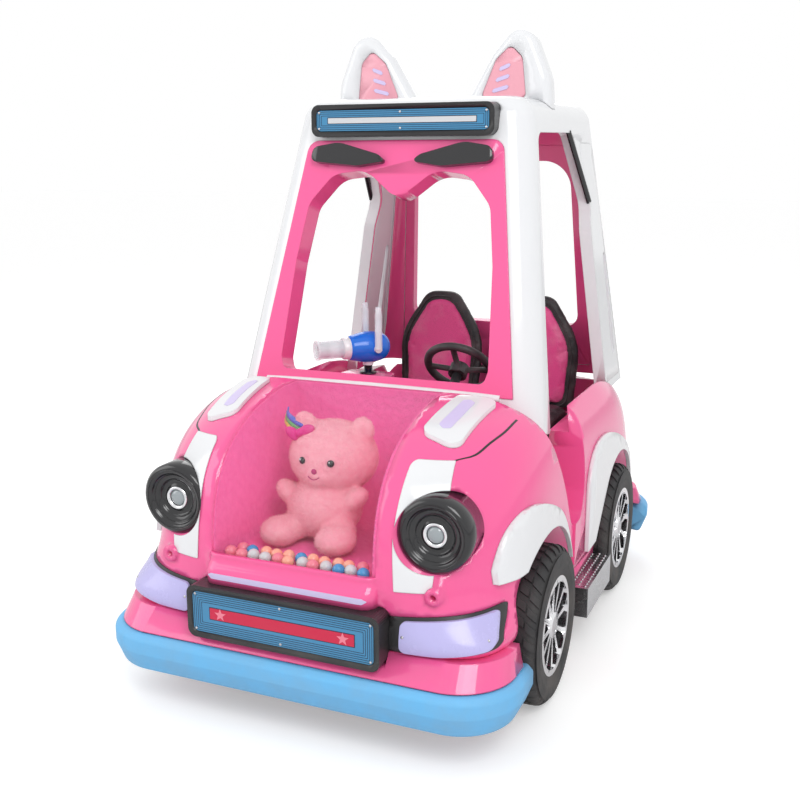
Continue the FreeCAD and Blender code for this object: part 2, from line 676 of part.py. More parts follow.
def front_shell():
    """Nose and fenders in one moulding, cut for the showcase, the feet, the wheels and the lamps."""
    gap = size("fit")
    wall = size("bay_wall")
    lip = lip_form().cut(nose_form(gap).common(bay_space(wall + gap)))
    shape = nose_form(0).cut(bay_space(wall + gap)).fuse(lip)
    rear = size("nose_split") + 200
    foot = box((-size("foot_half"), size("foot_front"), 0), (size("foot_half"), rear, size("hood_under")))
    high = box((-size("shoulder_half"), size("foot_front"), size("foot_step")),
               (size("shoulder_half"), rear, size("hood_under")))
    shape = shape.cut(foot).cut(high)
    shape = shape.cut(prism(door_edge(rear), on_side(-700), vec(1400, 0, 0)))
    for space in wheel_wells():
        shape = shape.cut(space)
    lamp = lamp_space(gap)
    band = band_form(size("band_sink") + gap, size("band_proud") + 20, gap)
    shape = shape.cut(lamp).cut(mirrored(lamp)).cut(band).cut(mirrored(band)).cut(plate_space(gap))
    shape = shape.cut(cab_form(gap))
    nub = nub_form(0)
    hole = bar(vec(size("nub_x"), nose_front() - size("nub_reach") + size("nub_bore_depth"), size("nub_z")),
               vec(size("nub_x"), nose_front() - 200, size("nub_z")), size("nub_bore"))
    shape = shape.fuse([nub, mirrored(nub)]).cut(hole).cut(mirrored(hole))
    shaped("front_shell", one_of(shape))


def nub_form(gap):
    """A round boss that stands out of the nose below each headlamp."""
    x = size("nub_x")
    z = size("nub_z")
    return bar(vec(x, nose_front() + 100, z), vec(x, nose_front() - size("nub_reach") - gap, z),
               size("nub_radius") + gap)


def nose_end():
    """The nose's foremost line, on the middle of the car."""
    return size("nose_mid_y") - size("nose_reach")


def nose_front():
    """Where the nose's face stands at the two nubs: on its level curve below the widest level."""
    share = size("nub_x") / size("nose_half")
    drop = (size("nose_mid_z") - size("nub_z")) / (size("nose_mid_z") - size("base_top"))
    power = 4 + 3 * max(0, drop)
    return size("nose_mid_y") - size("nose_reach") * (1 - share ** power) ** (1 / power)


def showcase():
    """The lined box in the nose and the clear cover that carries the nose's curve across it."""
    wall = size("bay_wall")
    gap = size("fit")
    cab = cab_form(gap)
    inside = nose_form(-size("cover_thick") - gap)
    liner = bay_space(wall).cut(bay_space(0)).common(inside).cut(cab)
    shaped("showcase_liner", one_of(liner))
    cover = nose_form(0).cut(nose_form(-size("cover_thick"))).common(bay_space(wall)).cut(cab)
    shaped("showcase_cover", one_of(cover))


def flare_outline(axle, front_tip, tip_low, tip_high, crown, tail):
    """A white arch trim from the side: wide ahead of the wheel, thinning away behind it."""
    y = size(axle)
    z = size("axle_z")
    inner = size("well_radius")
    outer = [vec(0, y + v, z + w) for v, w in crown]
    curve = Part.BSplineCurve()
    curve.interpolate([vec(0, y + front_tip, z + tip_high)] + outer + [vec(0, y + tail[0], z + tail[1])])
    arc_start = math.atan2(tail[1], tail[0])
    start = vec(0, y + inner * math.cos(arc_start), z + inner * math.sin(arc_start))
    arc_end = math.radians(128)
    end = vec(0, y + inner * math.cos(arc_end), z + inner * math.sin(arc_end))
    middle_turn = (arc_start + arc_end) / 2
    middle = vec(0, y + inner * math.cos(middle_turn), z + inner * math.sin(middle_turn))
    foot = vec(0, y + front_tip, z + tip_low)
    knee = vec(0, y + front_tip + 70, z + tip_low - 6)
    edges = [curve.toShape(), Part.LineSegment(vec(0, y + tail[0], z + tail[1]), start).toShape(),
             Part.Arc(start, middle, end).toShape(), Part.LineSegment(end, knee).toShape(),
             Part.LineSegment(knee, foot).toShape(),
             Part.LineSegment(foot, vec(0, y + front_tip, z + tip_high)).toShape()]
    return Part.Face(Part.Wire(edges)).extrude(vec(700, 0, 0))


def flares():
    """White trims over the four arches, each lying on the body form."""
    gap = size("skin_gap")
    thick = size("flare_thick")
    front = flare_outline("front_axle_y", -262, 198, 230,
                          [(-245, 266), (-226, 293), (-174, 328), (-110, 339), (-33, 325), (34, 300), (105, 262),
                           (168, 200)], (228, 96))
    rear = flare_outline("rear_axle_y", -385, 40, 250,
                         [(-330, 318), (-230, 345), (-120, 336), (0, 300), (110, 248), (200, 176)], (262, 50))
    band = box((size("foot_half"), -900, size("base_top")), (700, 900, 900))
    lamp = lamp_space(3)
    front_skin = skin(nose_form, front.common(band).cut(lamp), gap, thick)
    rear_skin = skin(tail_form, rear.common(band), gap, thick)
    shapes = []
    for piece in (front_skin, rear_skin):
        for solid in piece.Solids:
            shapes += [solid, mirrored(solid)]
    shaped("arch_flares", Part.makeCompound(shapes))


def band_form(sink, proud, gap):
    """The black surround of a light bar, sunk in the nose: a skin between two depths."""
    inner = size("plate_half") - 12
    outer = size("nose_half")
    low = size("base_top") + 3
    front = nose_end() - 60
    high = low + 80 + gap
    low = low - gap
    band = prism([(inner - gap, low, 5), (inner + 90, low, 90), (outer - 10 + gap, low + 18, 12),
                  (outer - 26 + gap, high + 15, 10), (outer - 100, high + 10, 60), (inner - gap, high, 5)],
                 on_front(front), vec(0, 240, 0))
    return nose_form(proud).common(band).cut(nose_form(-sink))


def nose_trim():
    """Fender-top pods, cheek patches, the black lamp bands and their two light bars."""
    gap = size("skin_gap")
    front = nose_end()
    half = size("nose_half")
    pod = prism([(half - 252, front + 188, 24), (half - 158, front + 180, 36), (half - 138, front + 436, 24),
                 (half - 234, front + 396, 22)], on_plan(500), vec(0, 0, 400))
    pod = skin(nose_form, pod, gap, size("pod_thick"))
    shaped("vent_pods", both(pod))
    x = size("lamp_x")
    z = size("lamp_z")
    patch = prism([(x - 82, z + 148, 14), (x + 6, z + 142, 3), (x + 16, z + 70, 3), (x, z - 129, 3),
                   (x - 82, z - 129, 3), (x - 88, z - 10, 60)], on_front(front - 100), vec(0, 290, 0))
    patch = skin(nose_form, patch, gap, size("patch_thick")).cut(lamp_space(gap)).cut(nub_form(gap))
    shaped("cheek_patches", both(one_of(patch)))
    proud = size("band_proud")
    sink = size("band_sink")
    band = band_form(sink, proud, 0).cut(plate_space(gap)).cut(lip_form())
    shaped("lamp_band", both(one_of(band)))
    inner = size("plate_half") + 28
    outer = half
    low = size("base_top") + 3
    outline = prism([(inner, low + 3, 15), (inner + 90, low + 6, 90), (outer - 15, low + 24, 14),
                     (outer - 33, low + 89, 14), (outer - 100, low + 83, 60), (inner, low + 75, 14)],
                    on_front(front - 60), vec(0, 240, 0))
    lights = skin(nose_form, outline, proud + size("fit"), proud + size("fit") + size("lamp_bar_thick"))
    shaped("light_bars", both(lights))


def headlamps():
    """Two deep black bezels with stepped rings and a small lens in the middle."""
    y = size("lamp_front")
    x = size("lamp_x")
    z = size("lamp_z")
    radius = size("lamp_radius")
    dish = size("lamp_dish")
    ring = size("lens_ring")
    lens = size("lens_radius")
    steps = [(radius, 8), (radius - 8, 0), (radius - 20, 0), (radius - 26, 9), (radius - 38, 12),
             (radius - 44, dish), (ring + 4, dish), (ring, dish - 5), (lens + 4, dish - 5), (lens, dish - 1),
             (0, dish - 7)]
    points = [vec(x, y + size("lamp_depth"), z), vec(x, y + size("lamp_depth"), z + radius)]
    points += [vec(x, y + deep, z + far) for far, deep in steps]
    face = Part.Face(Part.makePolygon(points + points[:1]))
    lamp = face.revolve(vec(x, y, z), vec(0, 1, 0), 360)
    shaped("headlamps", both(one_of(lamp.cut(bay_space(size("bay_wall") + size("fit"))))))


def sign_box(half, front, low, high, depth):
    """A box sign: a rounded black case with a sunk, blank panel field."""
    corner = size("sign_round")
    case = prism([(-half, low, corner), (half, low, corner), (half, high, corner), (-half, high, corner)],
                 on_front(front), vec(0, depth, 0))
    edge = size("panel_edge")
    inner = corner - edge / 2
    field = prism([(-half + edge, low + edge, inner), (half - edge, low + edge, inner),
                   (half - edge, high - edge, inner), (-half + edge, high - edge, inner)],
                  on_front(front), vec(0, size("panel_sink"), 0))
    return case.cut(field)


def signs():
    shaped("front_plate", sign_box(size("plate_half"), size("plate_front"), size("plate_low"),
                                   size("plate_high"), size("plate_depth")))
    shaped("roof_sign", sign_box(size("sign_half"), size("sign_front"), size("sign_low"),
                                 size("sign_high"), size("sign_depth")))


def ball(x, y, z, wide, high):
    """A round body about an upright axis, wide and high given as half sizes."""
    steps = 8
    points = []
    for step in range(steps + 1):
        turn = math.pi * step / steps
        points.append(vec(x + wide * math.sin(turn), y, z - high * math.cos(turn)))
    points[0].x = points[-1].x = x
    curve = Part.BSplineCurve()
    curve.interpolate(Points=points, InitialTangent=vec(1, 0, 0), FinalTangent=vec(-1, 0, 0))
    half = Part.Face(Part.Wire([curve.toShape(), Part.LineSegment(points[-1], points[0]).toShape()]))
    return half.revolve(vec(x, y, z), vec(0, 0, 1), 360)


def play_figure():
    """The soft toy sitting in the showcase, as one plain closed form."""
    floor = size("bay_floor") + size("fit")
    back = size("bay_rear")
    head = ball(-14, back - 170, floor + 210, 114, 96)
    body = ball(-28, back - 190, floor + 88, 98, 88)
    limbs = [ball(-124, back - 216, floor + 116, 38, 27), ball(72, back - 216, floor + 118, 38, 28),
             ball(-104, back - 268, floor + 38, 56, 38), ball(46, back - 276, floor + 38, 56, 38)]
    for x in (-92, 64):
        limbs.append(bar(vec(x, back - 178, floor + 282), vec(x, back - 156, floor + 282), 38))
    shaped("soft_toy", one_of(head.fuse([body] + limbs)))


# ---------------------------------------------------------------- cab


def cab_line(z, low, high):
    """A cab size at a height, on the straight line between its lowest and highest value."""
    share = (z - size("cab_low")) / (size("cab_high") - size("cab_low"))
    return size(low) + (size(high) - size(low)) * share


def cab_level(z, grow):
    half = cab_line(z, "cab_low_half", "cab_high_half") + grow
    front = cab_line(z, "cab_low_front", "cab_high_front") - grow
    rear = cab_line(z, "cab_low_rear", "cab_high_rear") + grow
    corner = size("cab_corner") + grow
    return rounded([(-half, front, corner), (half, front, corner), (half, rear, corner), (-half, rear, corner)],
                   on_plan(z))


def cab_form(grow, roof=0):
    """The cab's tapered block with a rounded roof, grown or shrunk on every side."""
    high = size("cab_high") + max(0, grow) - roof
    block_form = Part.makeLoft([cab_level(size("cab_low"), grow), cab_level(high, grow)], True, True)
    top = [edge for edge in block_form.Edges if abs(edge.BoundBox.ZMin - high) < 1 and edge.BoundBox.ZLength < 1]
    return block_form.makeFillet(size("roof_round") + grow, top)


def screen_place(u, v):
    """A point on the windscreen's plane: u across, v the height above ground."""
    return vec(u, cab_line(v, "cab_low_front", "cab_high_front"), v)


def rear_place(u, v):
    return vec(u, cab_line(v, "cab_low_rear", "cab_high_rear"), v)


def plane_normal(low, high):
    """The outward lean of a cab face, as a unit vector."""
    run = size(high) - size(low)
    rise = size("cab_high") - size("cab_low")
    way = -1 if size(low) < 0 else 1
    normal = vec(0, way * rise, -way * run)
    return normal.normalize()


def screen_corners(inset):
    top = size("screen_top") - inset
    low = size("screen_low")
    wide = size("screen_low_half") - inset
    crown = size("screen_top_half") - inset
    return [(-wide, low, 0), (wide, low, 0), (crown, top, 34), (-crown, top, 34)]


def rear_corners(inset):
    half = size("rear_panel_half") - inset
    return [(-half - 24, size("rear_panel_low") + inset, 8), (half + 24, size("rear_panel_low") + inset, 8),
            (half - 24, size("rear_panel_top") - inset, 50), (-half + 24, size("rear_panel_top") - inset, 50)]


def through(corners, place, normal, outward, inward):
    """A cutting prism through a leaning face, from outside to inside."""
    face = Part.Face(rounded(corners, place))
    face.translate(normal * outward)
    return face.extrude(normal * -(outward + inward))


def side_corners():
    """The door opening's outline from the side, between the two pillars."""
    front = size("cab_low_front")
    rear = size("cab_low_rear")
    high = size("cab_high")
    low = size("cab_low") - 40
    return [(front + 101, low, 0), (size("cab_high_front") + 61, high - 94, 40), (rear - 386, high - 90, 40),
            (rear - 247, high - 300, 60), (rear - 276, high - 380, 60), (rear - 284, low, 0)]


def cab_shell():
    """Roof and four pillars in one white moulding, with its window spaces cut."""
    outer = cab_form(0)
    inner = cab_form(-size("cab_wall"), size("roof_thick"))
    shape = outer.cut(inner)
    front_normal = plane_normal("cab_low_front", "cab_high_front")
    rear_normal = plane_normal("cab_low_rear", "cab_high_rear")
    shape = shape.cut(through(screen_corners(0), screen_place, front_normal, 60, 160))
    shape = shape.cut(through(rear_corners(0), rear_place, rear_normal, 60, 130))
    for outline in (side_corners(), quarter_corners(0), pillar_feet()):
        shape = shape.cut(prism(outline, on_side(-700), vec(1400, 0, 0)))
    gap = size("fit")
    half = size("sign_half") + gap
    low = size("sign_low") - gap
    high = size("sign_high") + gap
    corner = size("sign_round")
    sign = prism([(-half, low, corner), (half, low, corner), (half, high, corner), (-half, high, corner)],
                 on_front(size("sign_front") - 200), vec(0, 200 + size("sign_depth") + gap, 0))
    shape = shape.cut(sign)
    shaped("cab_shell", max(shape.Solids, key=lambda solid: solid.Volume))


def pillar_feet():
    """What is cut away under both pillar feet: in front along the fender, behind along the tail."""
    front = size("cab_low_front")
    low = size("cab_low")
    rear = size("cab_low_rear")
    return [(front - 103, low - 100, 0), (front - 103, low + 100, 0), (front + 51, low + 55, 30),
            (front + 101, low + 40, 0), (rear - 332, low + 40, 0), (rear - 332, low + 18, 0),
            (rear + 148, low + 18, 0), (rear + 148, low - 100, 0)]


def quarter_corners(inset):
    """The outline of the rear quarter's opening, which the grab-handle panel fills."""
    rear = size("cab_low_rear")
    low = size("cab_low")
    high = size("cab_high")
    return [(rear - 274 + inset, low + 40 + inset, 10), (rear - 266 + inset, high - 380, 60),
            (rear - 232 + inset, high - 300, 60), (rear - 328 + inset, high - 118 - inset, 20),
            (rear - 152 - inset, high - 118 - inset, 50), (rear - 80 - inset, low + 160, 40),
            (rear - 76 - inset, low + 40 + inset, 10)]


def screens():
    """The pink surround of the windscreen with its heart-shaped opening, and the rear window panel."""
    gap = size("fit")
    normal = plane_normal("cab_low_front", "cab_high_front")
    panel = through(screen_corners(gap), screen_place, normal, size("screen_proud"), size("screen_thick"))
    wide = size("screen_low_half")
    crown = size("screen_top_half")
    low = size("screen_low")
    top = size("screen_top")
    half_arch = [(crown - 180, top - 78, 80), (crown - 84, top - 90, 70), (crown - 18, top - 168, 60),
                 (wide - 88, top - 318, 60), (wide - 72, low + 62, 30), (wide - 82, low + 30, 20)]
    arch = [(0, top - 156, 46)] + half_arch + [(-u, v, radius) for u, v, radius in reversed(half_arch)]
    panel = panel.cut(through(arch, screen_place, normal, 60, 160))
    shaped("windscreen_surround", one_of(panel))
    normal = plane_normal("cab_low_rear", "cab_high_rear")
    panel = through(rear_corners(gap), rear_place, normal, 0, size("rear_panel_thick"))
    half = size("rear_window_half")
    window = [(-half - 18, size("rear_window_low"), 40), (half + 18, size("rear_window_low"), 40),
              (half - 14, size("rear_window_top"), 90), (14 - half, size("rear_window_top"), 90)]
    panel = panel.cut(through(window, rear_place, normal, 60, 130))
    shaped("rear_window_panel", one_of(panel))


def brow_lamps():
    """Two glossy teardrop lamps over the windscreen, narrow ends together."""
    normal = plane_normal("cab_low_front", "cab_high_front")
    top = size("screen_top")
    crown = size("screen_top_half")
    face = Part.Face(rounded([(38, top - 60, 6), (120, top - 72, 60), (crown - 18, top - 60, 16),
                              (crown - 24, top - 22, 20), (crown - 100, top - 10, 90), (60, top - 42, 40)],
                             screen_place))
    face.translate(normal * (size("screen_proud") + size("fit")))
    lamp = face.extrude(normal * size("brow_thick"))
    shaped("brow_lamps", both(lamp))


def quarter_handles():
    """The grab-handle inserts in the rear quarters, each a panel with one long slot."""
    panel = prism(quarter_corners(size("fit")), on_side(300), vec(300, 0, 0))
    rear = size("cab_low_rear")
    low = size("cab_low")
    slot = [(rear - 160, low + 112, 14), (rear - 122, low + 112, 14), (rear - 126, low + 434, 11),
            (rear - 152, low + 434, 11)]
    panel = panel.cut(prism(slot, on_side(300), vec(300, 0, 0)))
    panel = panel.common(cab_form(0)).cut(cab_form(-size("handle_thick")))
    shaped("quarter_handles", both(one_of(panel)))


def ears():
    """Two upright rabbit ears on the roof, round-edged, with a sunk panel in each."""
    depth = size("ear_thick")
    y = size("ear_y") - depth / 2
    roof = size("cab_high")
    edge = size("cab_high_half")
    outline = [(edge - 250, roof - 40, 10), (edge - 248, roof + 2, 60), (edge - 174, roof + 128, 90),
               (edge - 114, roof + 196, 46), (edge - 58, roof + 176, 60), (edge - 8, roof + 52, 110),
               (edge, roof - 80, 10), (edge - 80, roof - 60, 10)]
    ear = prism(outline, on_front(y), vec(0, depth, 0))
    rim = [side for side in ear.Edges if side.BoundBox.YLength < 1 and side.BoundBox.ZMax > roof]
    ear = ear.makeFillet(size("ear_round"), rim)
    ear = ear.cut(cab_form(size("fit")))
    ear = max(ear.Solids, key=lambda solid: solid.Volume)
    panel = [(edge - 208, roof + 2, 12), (edge - 164, roof + 108, 40), (edge - 119, roof + 146, 18),
             (edge - 84, roof + 112, 30), (edge - 72, roof + 2, 12)]
    sink = size("ear_sink")
    recess = prism(panel, on_front(y - 1), vec(0, sink + 1, 0))
    shaped("ears", both(one_of(ear.cut(recess))))
    middle = edge - 130
    inset = [(u + (2 if u < middle else -2), v + (2 if v < roof + 10 else -2), r) for u, v, r in panel]
    plate = prism(inset, on_front(y + sink - size("ear_panel")), vec(0, size("ear_panel"), 0))
    plate = plate.cut(cab_form(size("fit")))
    shaped("ear_panels", both(one_of(plate)))


# ---------------------------------------------------------------- tail and inside


def rear_shell():
    """The tail moulding: seat well inside, arches and a sill each side."""
    shape = tail_form(0)
    well = box((-size("seat_well_half"), -200, 0), (size("seat_well_half"), size("seat_well_rear"), 900))
    shape = shape.cut(well)
    door = [(-400, size("sill_top"), 0), (size("door_rear") - 30, size("sill_top"), 40),
            (size("door_rear"), size("sill_top") + 70, 60), (size("door_rear") + 4, size("door_top"), 60),
            (size("door_rear") + 40, 900, 0), (-400, 900, 0)]
    shape = shape.cut(prism(door, on_side(-700), vec(1400, 0, 0)))
    for space in wheel_wells():
        shape = shape.cut(space)
    shape = shape.cut(cab_form(size("fit")))
    lamp = tail_space(size("fit"))
    shape = shape.cut(lamp).cut(mirrored(lamp))
    shaped("rear_shell", one_of(shape))
    light = tail_space(0).common(tail_form(size("tail_depth"))).cut(tail_form(-size("tail_depth")))
    shaped("tail_lamps", both(one_of(light)))


def tail_space(gap):
    rear = size("tail_mid_y") + size("tail_reach")
    x = size("tail_x")
    z = size("tail_z")
    return bar(vec(x, rear - 130, z), vec(x, rear + 80, z), size("tail_radius") + gap)


def seats():
    """Seat box, two cushions and two shield-shaped backs."""
    shell = block("seat_shell", ("-seat_box_half", "seat_box_half"), ("seat_front", "seat_rear"),
                  ("base_top", "seat_top"))
    room = block("seat_room", ("-seat_box_half + seat_wall", "seat_box_half - seat_wall"),
                 ("seat_front + seat_wall", "seat_rear - seat_wall"), ("base_top - 1", "seat_top - seat_wall"))
    node(cut("seat_box", shell, [room]), "seat_box")
    x = size("seat_x")
    half = size("cushion_half")
    top = size("seat_top") + size("fit")
    front = size("seat_front") + 4
    rear = size("back_y") - 34
    cushion = prism([(x - half, front, 34), (x + half, front, 34), (x + half, rear, 20), (x - half, rear, 20)],
                    on_plan(top), vec(0, 0, size("cushion_thick")))
    rim = [edge for edge in cushion.Edges if edge.BoundBox.ZMin > top + 1 and edge.BoundBox.ZLength < 1]
    cushion = cushion.makeFillet(size("cushion_thick") / 3, rim)
    shaped("seat_cushions", both(cushion))
    half = size("back_half")
    middle = size("back_mid")
    high = size("back_top")
    crown = size("back_top_half")
    place = on_front(size("back_y"))
    back = prism([(x - half + 12, top, 20), (x + half - 12, top, 20), (x + half, middle, 60),
                  (x + half - 22, middle + 70, 40), (x + crown, high, 16), (x - crown, high, 16),
                  (x - half + 22, middle + 70, 40), (x - half, middle, 60)], place, vec(0, size("back_thick"), 0))
    back.rotate(vec(0, size("seat_rear"), top), vec(1, 0, 0), -size("back_lean"))
    shaped("seat_backs", both(back))


def dash():
    """The shelf under the windscreen that carries the steering column and the bubble gun."""
    gap = size("fit")
    top = size("hood_under") - gap
    rear = size("dash_rear")
    low = size("dash_low")
    front = size("foot_front") + size("dash_gap")
    half = size("shoulder_half") - size("dash_gap")
    shape = prism([(front, low, 0), (front, top, 6), (rear, top, 30), (rear - 10, low, 12)], on_side(-half),
                  vec(2 * half, 0, 0))
    shape = shape.cut(cab_keep_out(gap))
    x = size("gun_x")
    end = size("gun_y") + 42
    table = [(x - 84, rear - 20, 0), (x + 84, rear - 20, 0), (x + 70, end, 30), (x - 70, end, 30)]
    shape = shape.fuse(prism(table, on_plan(top - 36), vec(0, 0, 36)))
    foot = column_top() - column_axis() * (size("column_length") + 40)
    shape = shape.cut(bar(foot, column_top(), size("column_radius") + gap))
    shape = shape.cut(windscreen_space())
    shape = max(shape.Solids, key=lambda solid: solid.Volume)
    shaped("dash_shelf", shape.removeSplitter())


def cab_keep_out(gap):
    """The pillars' volume, which inside pieces stay clear of."""
    return cab_form(gap).cut(cab_form(-size("cab_wall") - gap, size("roof_thick")))


def windscreen_space():
    normal = plane_normal("cab_low_front", "cab_high_front")
    gap = size("fit")
    return through(screen_corners(-gap), screen_place, normal, 60, size("screen_thick") + gap)


def column_axis():
    lean = math.radians(size("column_lean"))
    return vec(0, math.sin(lean), math.cos(lean))


def column_top():
    return vec(size("steering_x"), size("steering_y"), size("steering_z"))


def steering():
    """The fixed column, and the wheel with its own shaft stub, hub, ring and three spokes."""
    axis = column_axis()
    top = column_top()
    hub_low = top - axis * 26
    spindle = size("spindle_radius")
    column = bar(hub_low - axis * size("column_length"), hub_low - axis * size("fit"), size("column_radius"))
    column = column.fuse(bar(hub_low - axis * 10, hub_low + axis * 18, spindle))
    shaped("steering_column", one_of(column))
    ring = Part.makeTorus(size("wheel_ring"), size("wheel_grip"), top, axis)
    hub = bar(hub_low, top + axis * 4, 26)
    across = vec(1, 0, 0)
    up = axis.cross(across)
    spokes = []
    for turn in (0, 180, 270):
        way = across * math.cos(math.radians(turn)) + up * math.sin(math.radians(turn))
        spokes.append(bar(top - axis * 8, top + way * size("wheel_ring"), 8))
    socket = bar(hub_low - axis, hub_low + axis * 19, spindle + size("spindle_play"))
    shaped("steering_wheel", one_of(hub.fuse([ring] + spokes).cut(socket)))


def bubble_gun():
    """A toy bubble cannon that swivels on a pedestal on the dash."""
    x, y, z = size("gun_x"), size("gun_y"), size("gun_z")
    deck = size("hood_under")
    fat = size("gun_fat")
    foot = z - fat - size("gun_neck")
    pin = size("swivel_pin")
    pedestal = bar(vec(x, y, deck), vec(x, y, foot - size("fit")), size("swivel_radius"))
    pedestal = pedestal.fuse([bar(vec(x, y, foot - 10), vec(x, y, foot + 24), pin),
                              bar(vec(x, y, deck), vec(x, y, deck + size("pedestal_foot")),
                                  size("pedestal_radius"))])
    shaped("gun_pedestal", one_of(pedestal))
    turn = math.radians(size("gun_turn"))
    way = vec(math.cos(turn), math.sin(turn), 0)
    side = vec(-way.y, way.x, 0)
    centre = vec(x, y, z)
    body = size("gun_body")
    profile = [(-body, 0), (-body, fat * 0.45), (-body * 0.6, fat * 0.9), (0, fat), (body * 0.6, fat * 0.85),
               (body, fat * 0.6), (body, 0)]
    points = [centre + way * along + vec(0, 0, far) for along, far in profile]
    gun = Part.Face(Part.makePolygon(points + points[:1])).revolve(centre, way, 360)
    radius = size("barrel_radius")
    end = body + size("barrel_length")
    barrel = bar(centre + way * (body - 10), centre + way * end, radius)
    mouth = bar(centre + way * (body + 20), centre + way * (end + 1), radius - size("barrel_wall"))
    prong = size("prong_radius")
    axle = centre - way * 12
    reach = side * size("prong_reach")
    prongs = [bar(axle - reach, axle + reach, prong)]
    for base in (axle - reach, axle + reach):
        prongs.append(bar(base, base + vec(0, 0, size("prong_high")), prong))
    neck = bar(vec(x, y, foot), vec(x, y, z), size("swivel_radius") + 4)
    socket = bar(vec(x, y, foot - 1), vec(x, y, foot + 25), pin + size("spindle_play"))
    shaped("bubble_gun", one_of(gun.fuse([barrel.cut(mouth), neck] + prongs).cut(socket)))


def steps_and_pedals():
    """A pressed steel step under each door opening, and the two floor pedals."""
    wall = size("step_wall")
    inner = size("step_inner")
    outer = size("step_outer")
    front = size("step_front")
    rear = size("step_rear")
    high = size("step_high")
    gap = size("fit")
    tread = box((inner, front, size("step_low")), (outer, rear, high))
    tread = tread.cut(box((inner + wall, front + wall, 0), (outer - wall, rear - wall, high - wall)))
    tube = size("outrigger_set")
    for y in (front + tube, rear - tube - size("cross_width")):
        tread = tread.cut(box((inner - 5, y - gap, 0), (inner + 31, y + size("cross_width") + gap,
                                                        size("rail_high") - 8 + gap)))
    shaped("side_steps", both(one_of(tread)))
    floor = size("floor_top")
    place = size("foot_front") + size("pedal_set")
    pedals = []
    for x in (size("steering_x") - size("pedal_x") / 2, size("steering_x") + size("pedal_x") / 2):
        half = size("pedal_width") / 2
        plate = box((x - half, -2, 0), (x + half, size("pedal_thick"), size("pedal_height")))
        plate.rotate(vec(x, 0, 0), vec(1, 0, 0), -size("pedal_lean"))
        plate.translate(vec(0, place, floor + 12))
        foot = box((x - 12, place - 6, floor), (x + 12, place + 14, floor + 30))
        pedals.append(one_of(plate.fuse(foot)))
    shaped("pedals", Part.makeCompound(pedals))


def build():
    running_gear()
    chassis()
    bumper("front_bumper", -1, size("front_bumper_half"), size("front_bumper_end"))
    bumper("rear_bumper", 1, size("rear_bumper_half"), size("rear_bumper_end"))
    body_base()
    floor_and_battery()
    front_shell()
    showcase()
    flares()
    nose_trim()
    headlamps()
    signs()
    play_figure()
    cab_shell()
    screens()
    brow_lamps()
    quarter_handles()
    ears()
    rear_shell()
    seats()
    dash()
    steering()
    bubble_gun()
    steps_and_pedals()


build()
doc.recompute()
for item in doc.Objects:
    faults = {"Invalid", "Error"} & set(item.State)
    if faults:
        raise RuntimeError(f"{item.Label} is {faults}")
os.makedirs("parts", exist_ok=True)
for piece in NODES:
    shape = piece.Shape
    if shape.isNull() or not shape.isValid():
        raise RuntimeError(f"{piece.Label} has no sound shape")
    shape.exportStep(f"parts/{piece.Label}.step")
    print(f"{piece.Label}: {len(shape.Solids)} solids, {shape.Volume / 1e6:.2f} litres")
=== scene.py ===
# %% [markdown]
# # An electric ride-on car, dressed
# The car is a fairground machine: a glossy moulded body, a white open cab with ears, soft bumpers and a
# toy in the nose.  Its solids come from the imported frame, and each lesson below gives one piece or one
# finish its real look.

# %% Load the frame
import json
import math

import bmesh
import bpy
from mathutils import Matrix, Vector
from mathutils.bvhtree import BVHTree


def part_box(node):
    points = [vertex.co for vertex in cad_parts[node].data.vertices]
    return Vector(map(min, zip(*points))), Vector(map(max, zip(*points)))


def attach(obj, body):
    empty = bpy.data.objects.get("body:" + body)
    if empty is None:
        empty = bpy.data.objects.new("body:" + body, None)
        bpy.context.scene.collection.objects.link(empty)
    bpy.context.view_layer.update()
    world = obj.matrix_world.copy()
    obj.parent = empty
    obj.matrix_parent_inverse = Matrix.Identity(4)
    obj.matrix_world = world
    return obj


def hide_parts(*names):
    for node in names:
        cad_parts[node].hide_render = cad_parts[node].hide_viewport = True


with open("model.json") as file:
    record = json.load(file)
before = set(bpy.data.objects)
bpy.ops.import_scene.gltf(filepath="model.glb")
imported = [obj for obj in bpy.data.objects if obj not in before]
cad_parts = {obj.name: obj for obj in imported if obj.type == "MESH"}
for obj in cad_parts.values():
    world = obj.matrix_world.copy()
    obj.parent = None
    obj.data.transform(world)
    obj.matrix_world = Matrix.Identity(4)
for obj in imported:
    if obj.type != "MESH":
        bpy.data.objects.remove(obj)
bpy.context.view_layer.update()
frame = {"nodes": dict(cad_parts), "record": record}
nodes = frame["nodes"]
behaviour = frame["record"]["behaviour"]
MM = 0.001
print("pieces in the frame:", len(nodes))


def in_place(name, data):
    """An object of a mesh, a lamp or a camera, linked to the scene."""
    made = bpy.data.objects.new(name, data)
    bpy.context.scene.collection.objects.link(made)
    return made


def mesh_of(name, bm):
    """The plain mesh of a bmesh, which is freed."""
    mesh = bpy.data.meshes.new(name)
    bm.to_mesh(mesh)
    bm.free()
    return mesh


# %% [markdown]
# ## The camera
# A view is a place, two angles and a focal length.  The camera stands a little above the driver's
# lamp, turned towards the middle of the car.  The matrix turns about the upright axis first, then
# tips down, then levels the horizon.

# %% Place the camera
CAMERA_PLACE = (1.1394, -2.7529, 1.3433)
CAMERA_TURN, CAMERA_TIP, CAMERA_LEVEL = 23.368, 13.131, -0.208
FOCAL_LENGTH = 47.546
lens = bpy.data.cameras.new("view")
lens.lens = FOCAL_LENGTH
camera = in_place("view", lens)
camera.matrix_world = (
    Matrix.Translation(CAMERA_PLACE)
    @ Matrix.Rotation(math.radians(CAMERA_TURN), 4, "Z")
    @ Matrix.Rotation(math.radians(90 - CAMERA_TIP), 4, "X")
    @ Matrix.Rotation(math.radians(CAMERA_LEVEL), 4, "Z")
)
bpy.context.scene.camera = camera
print("camera at", CAMERA_PLACE)

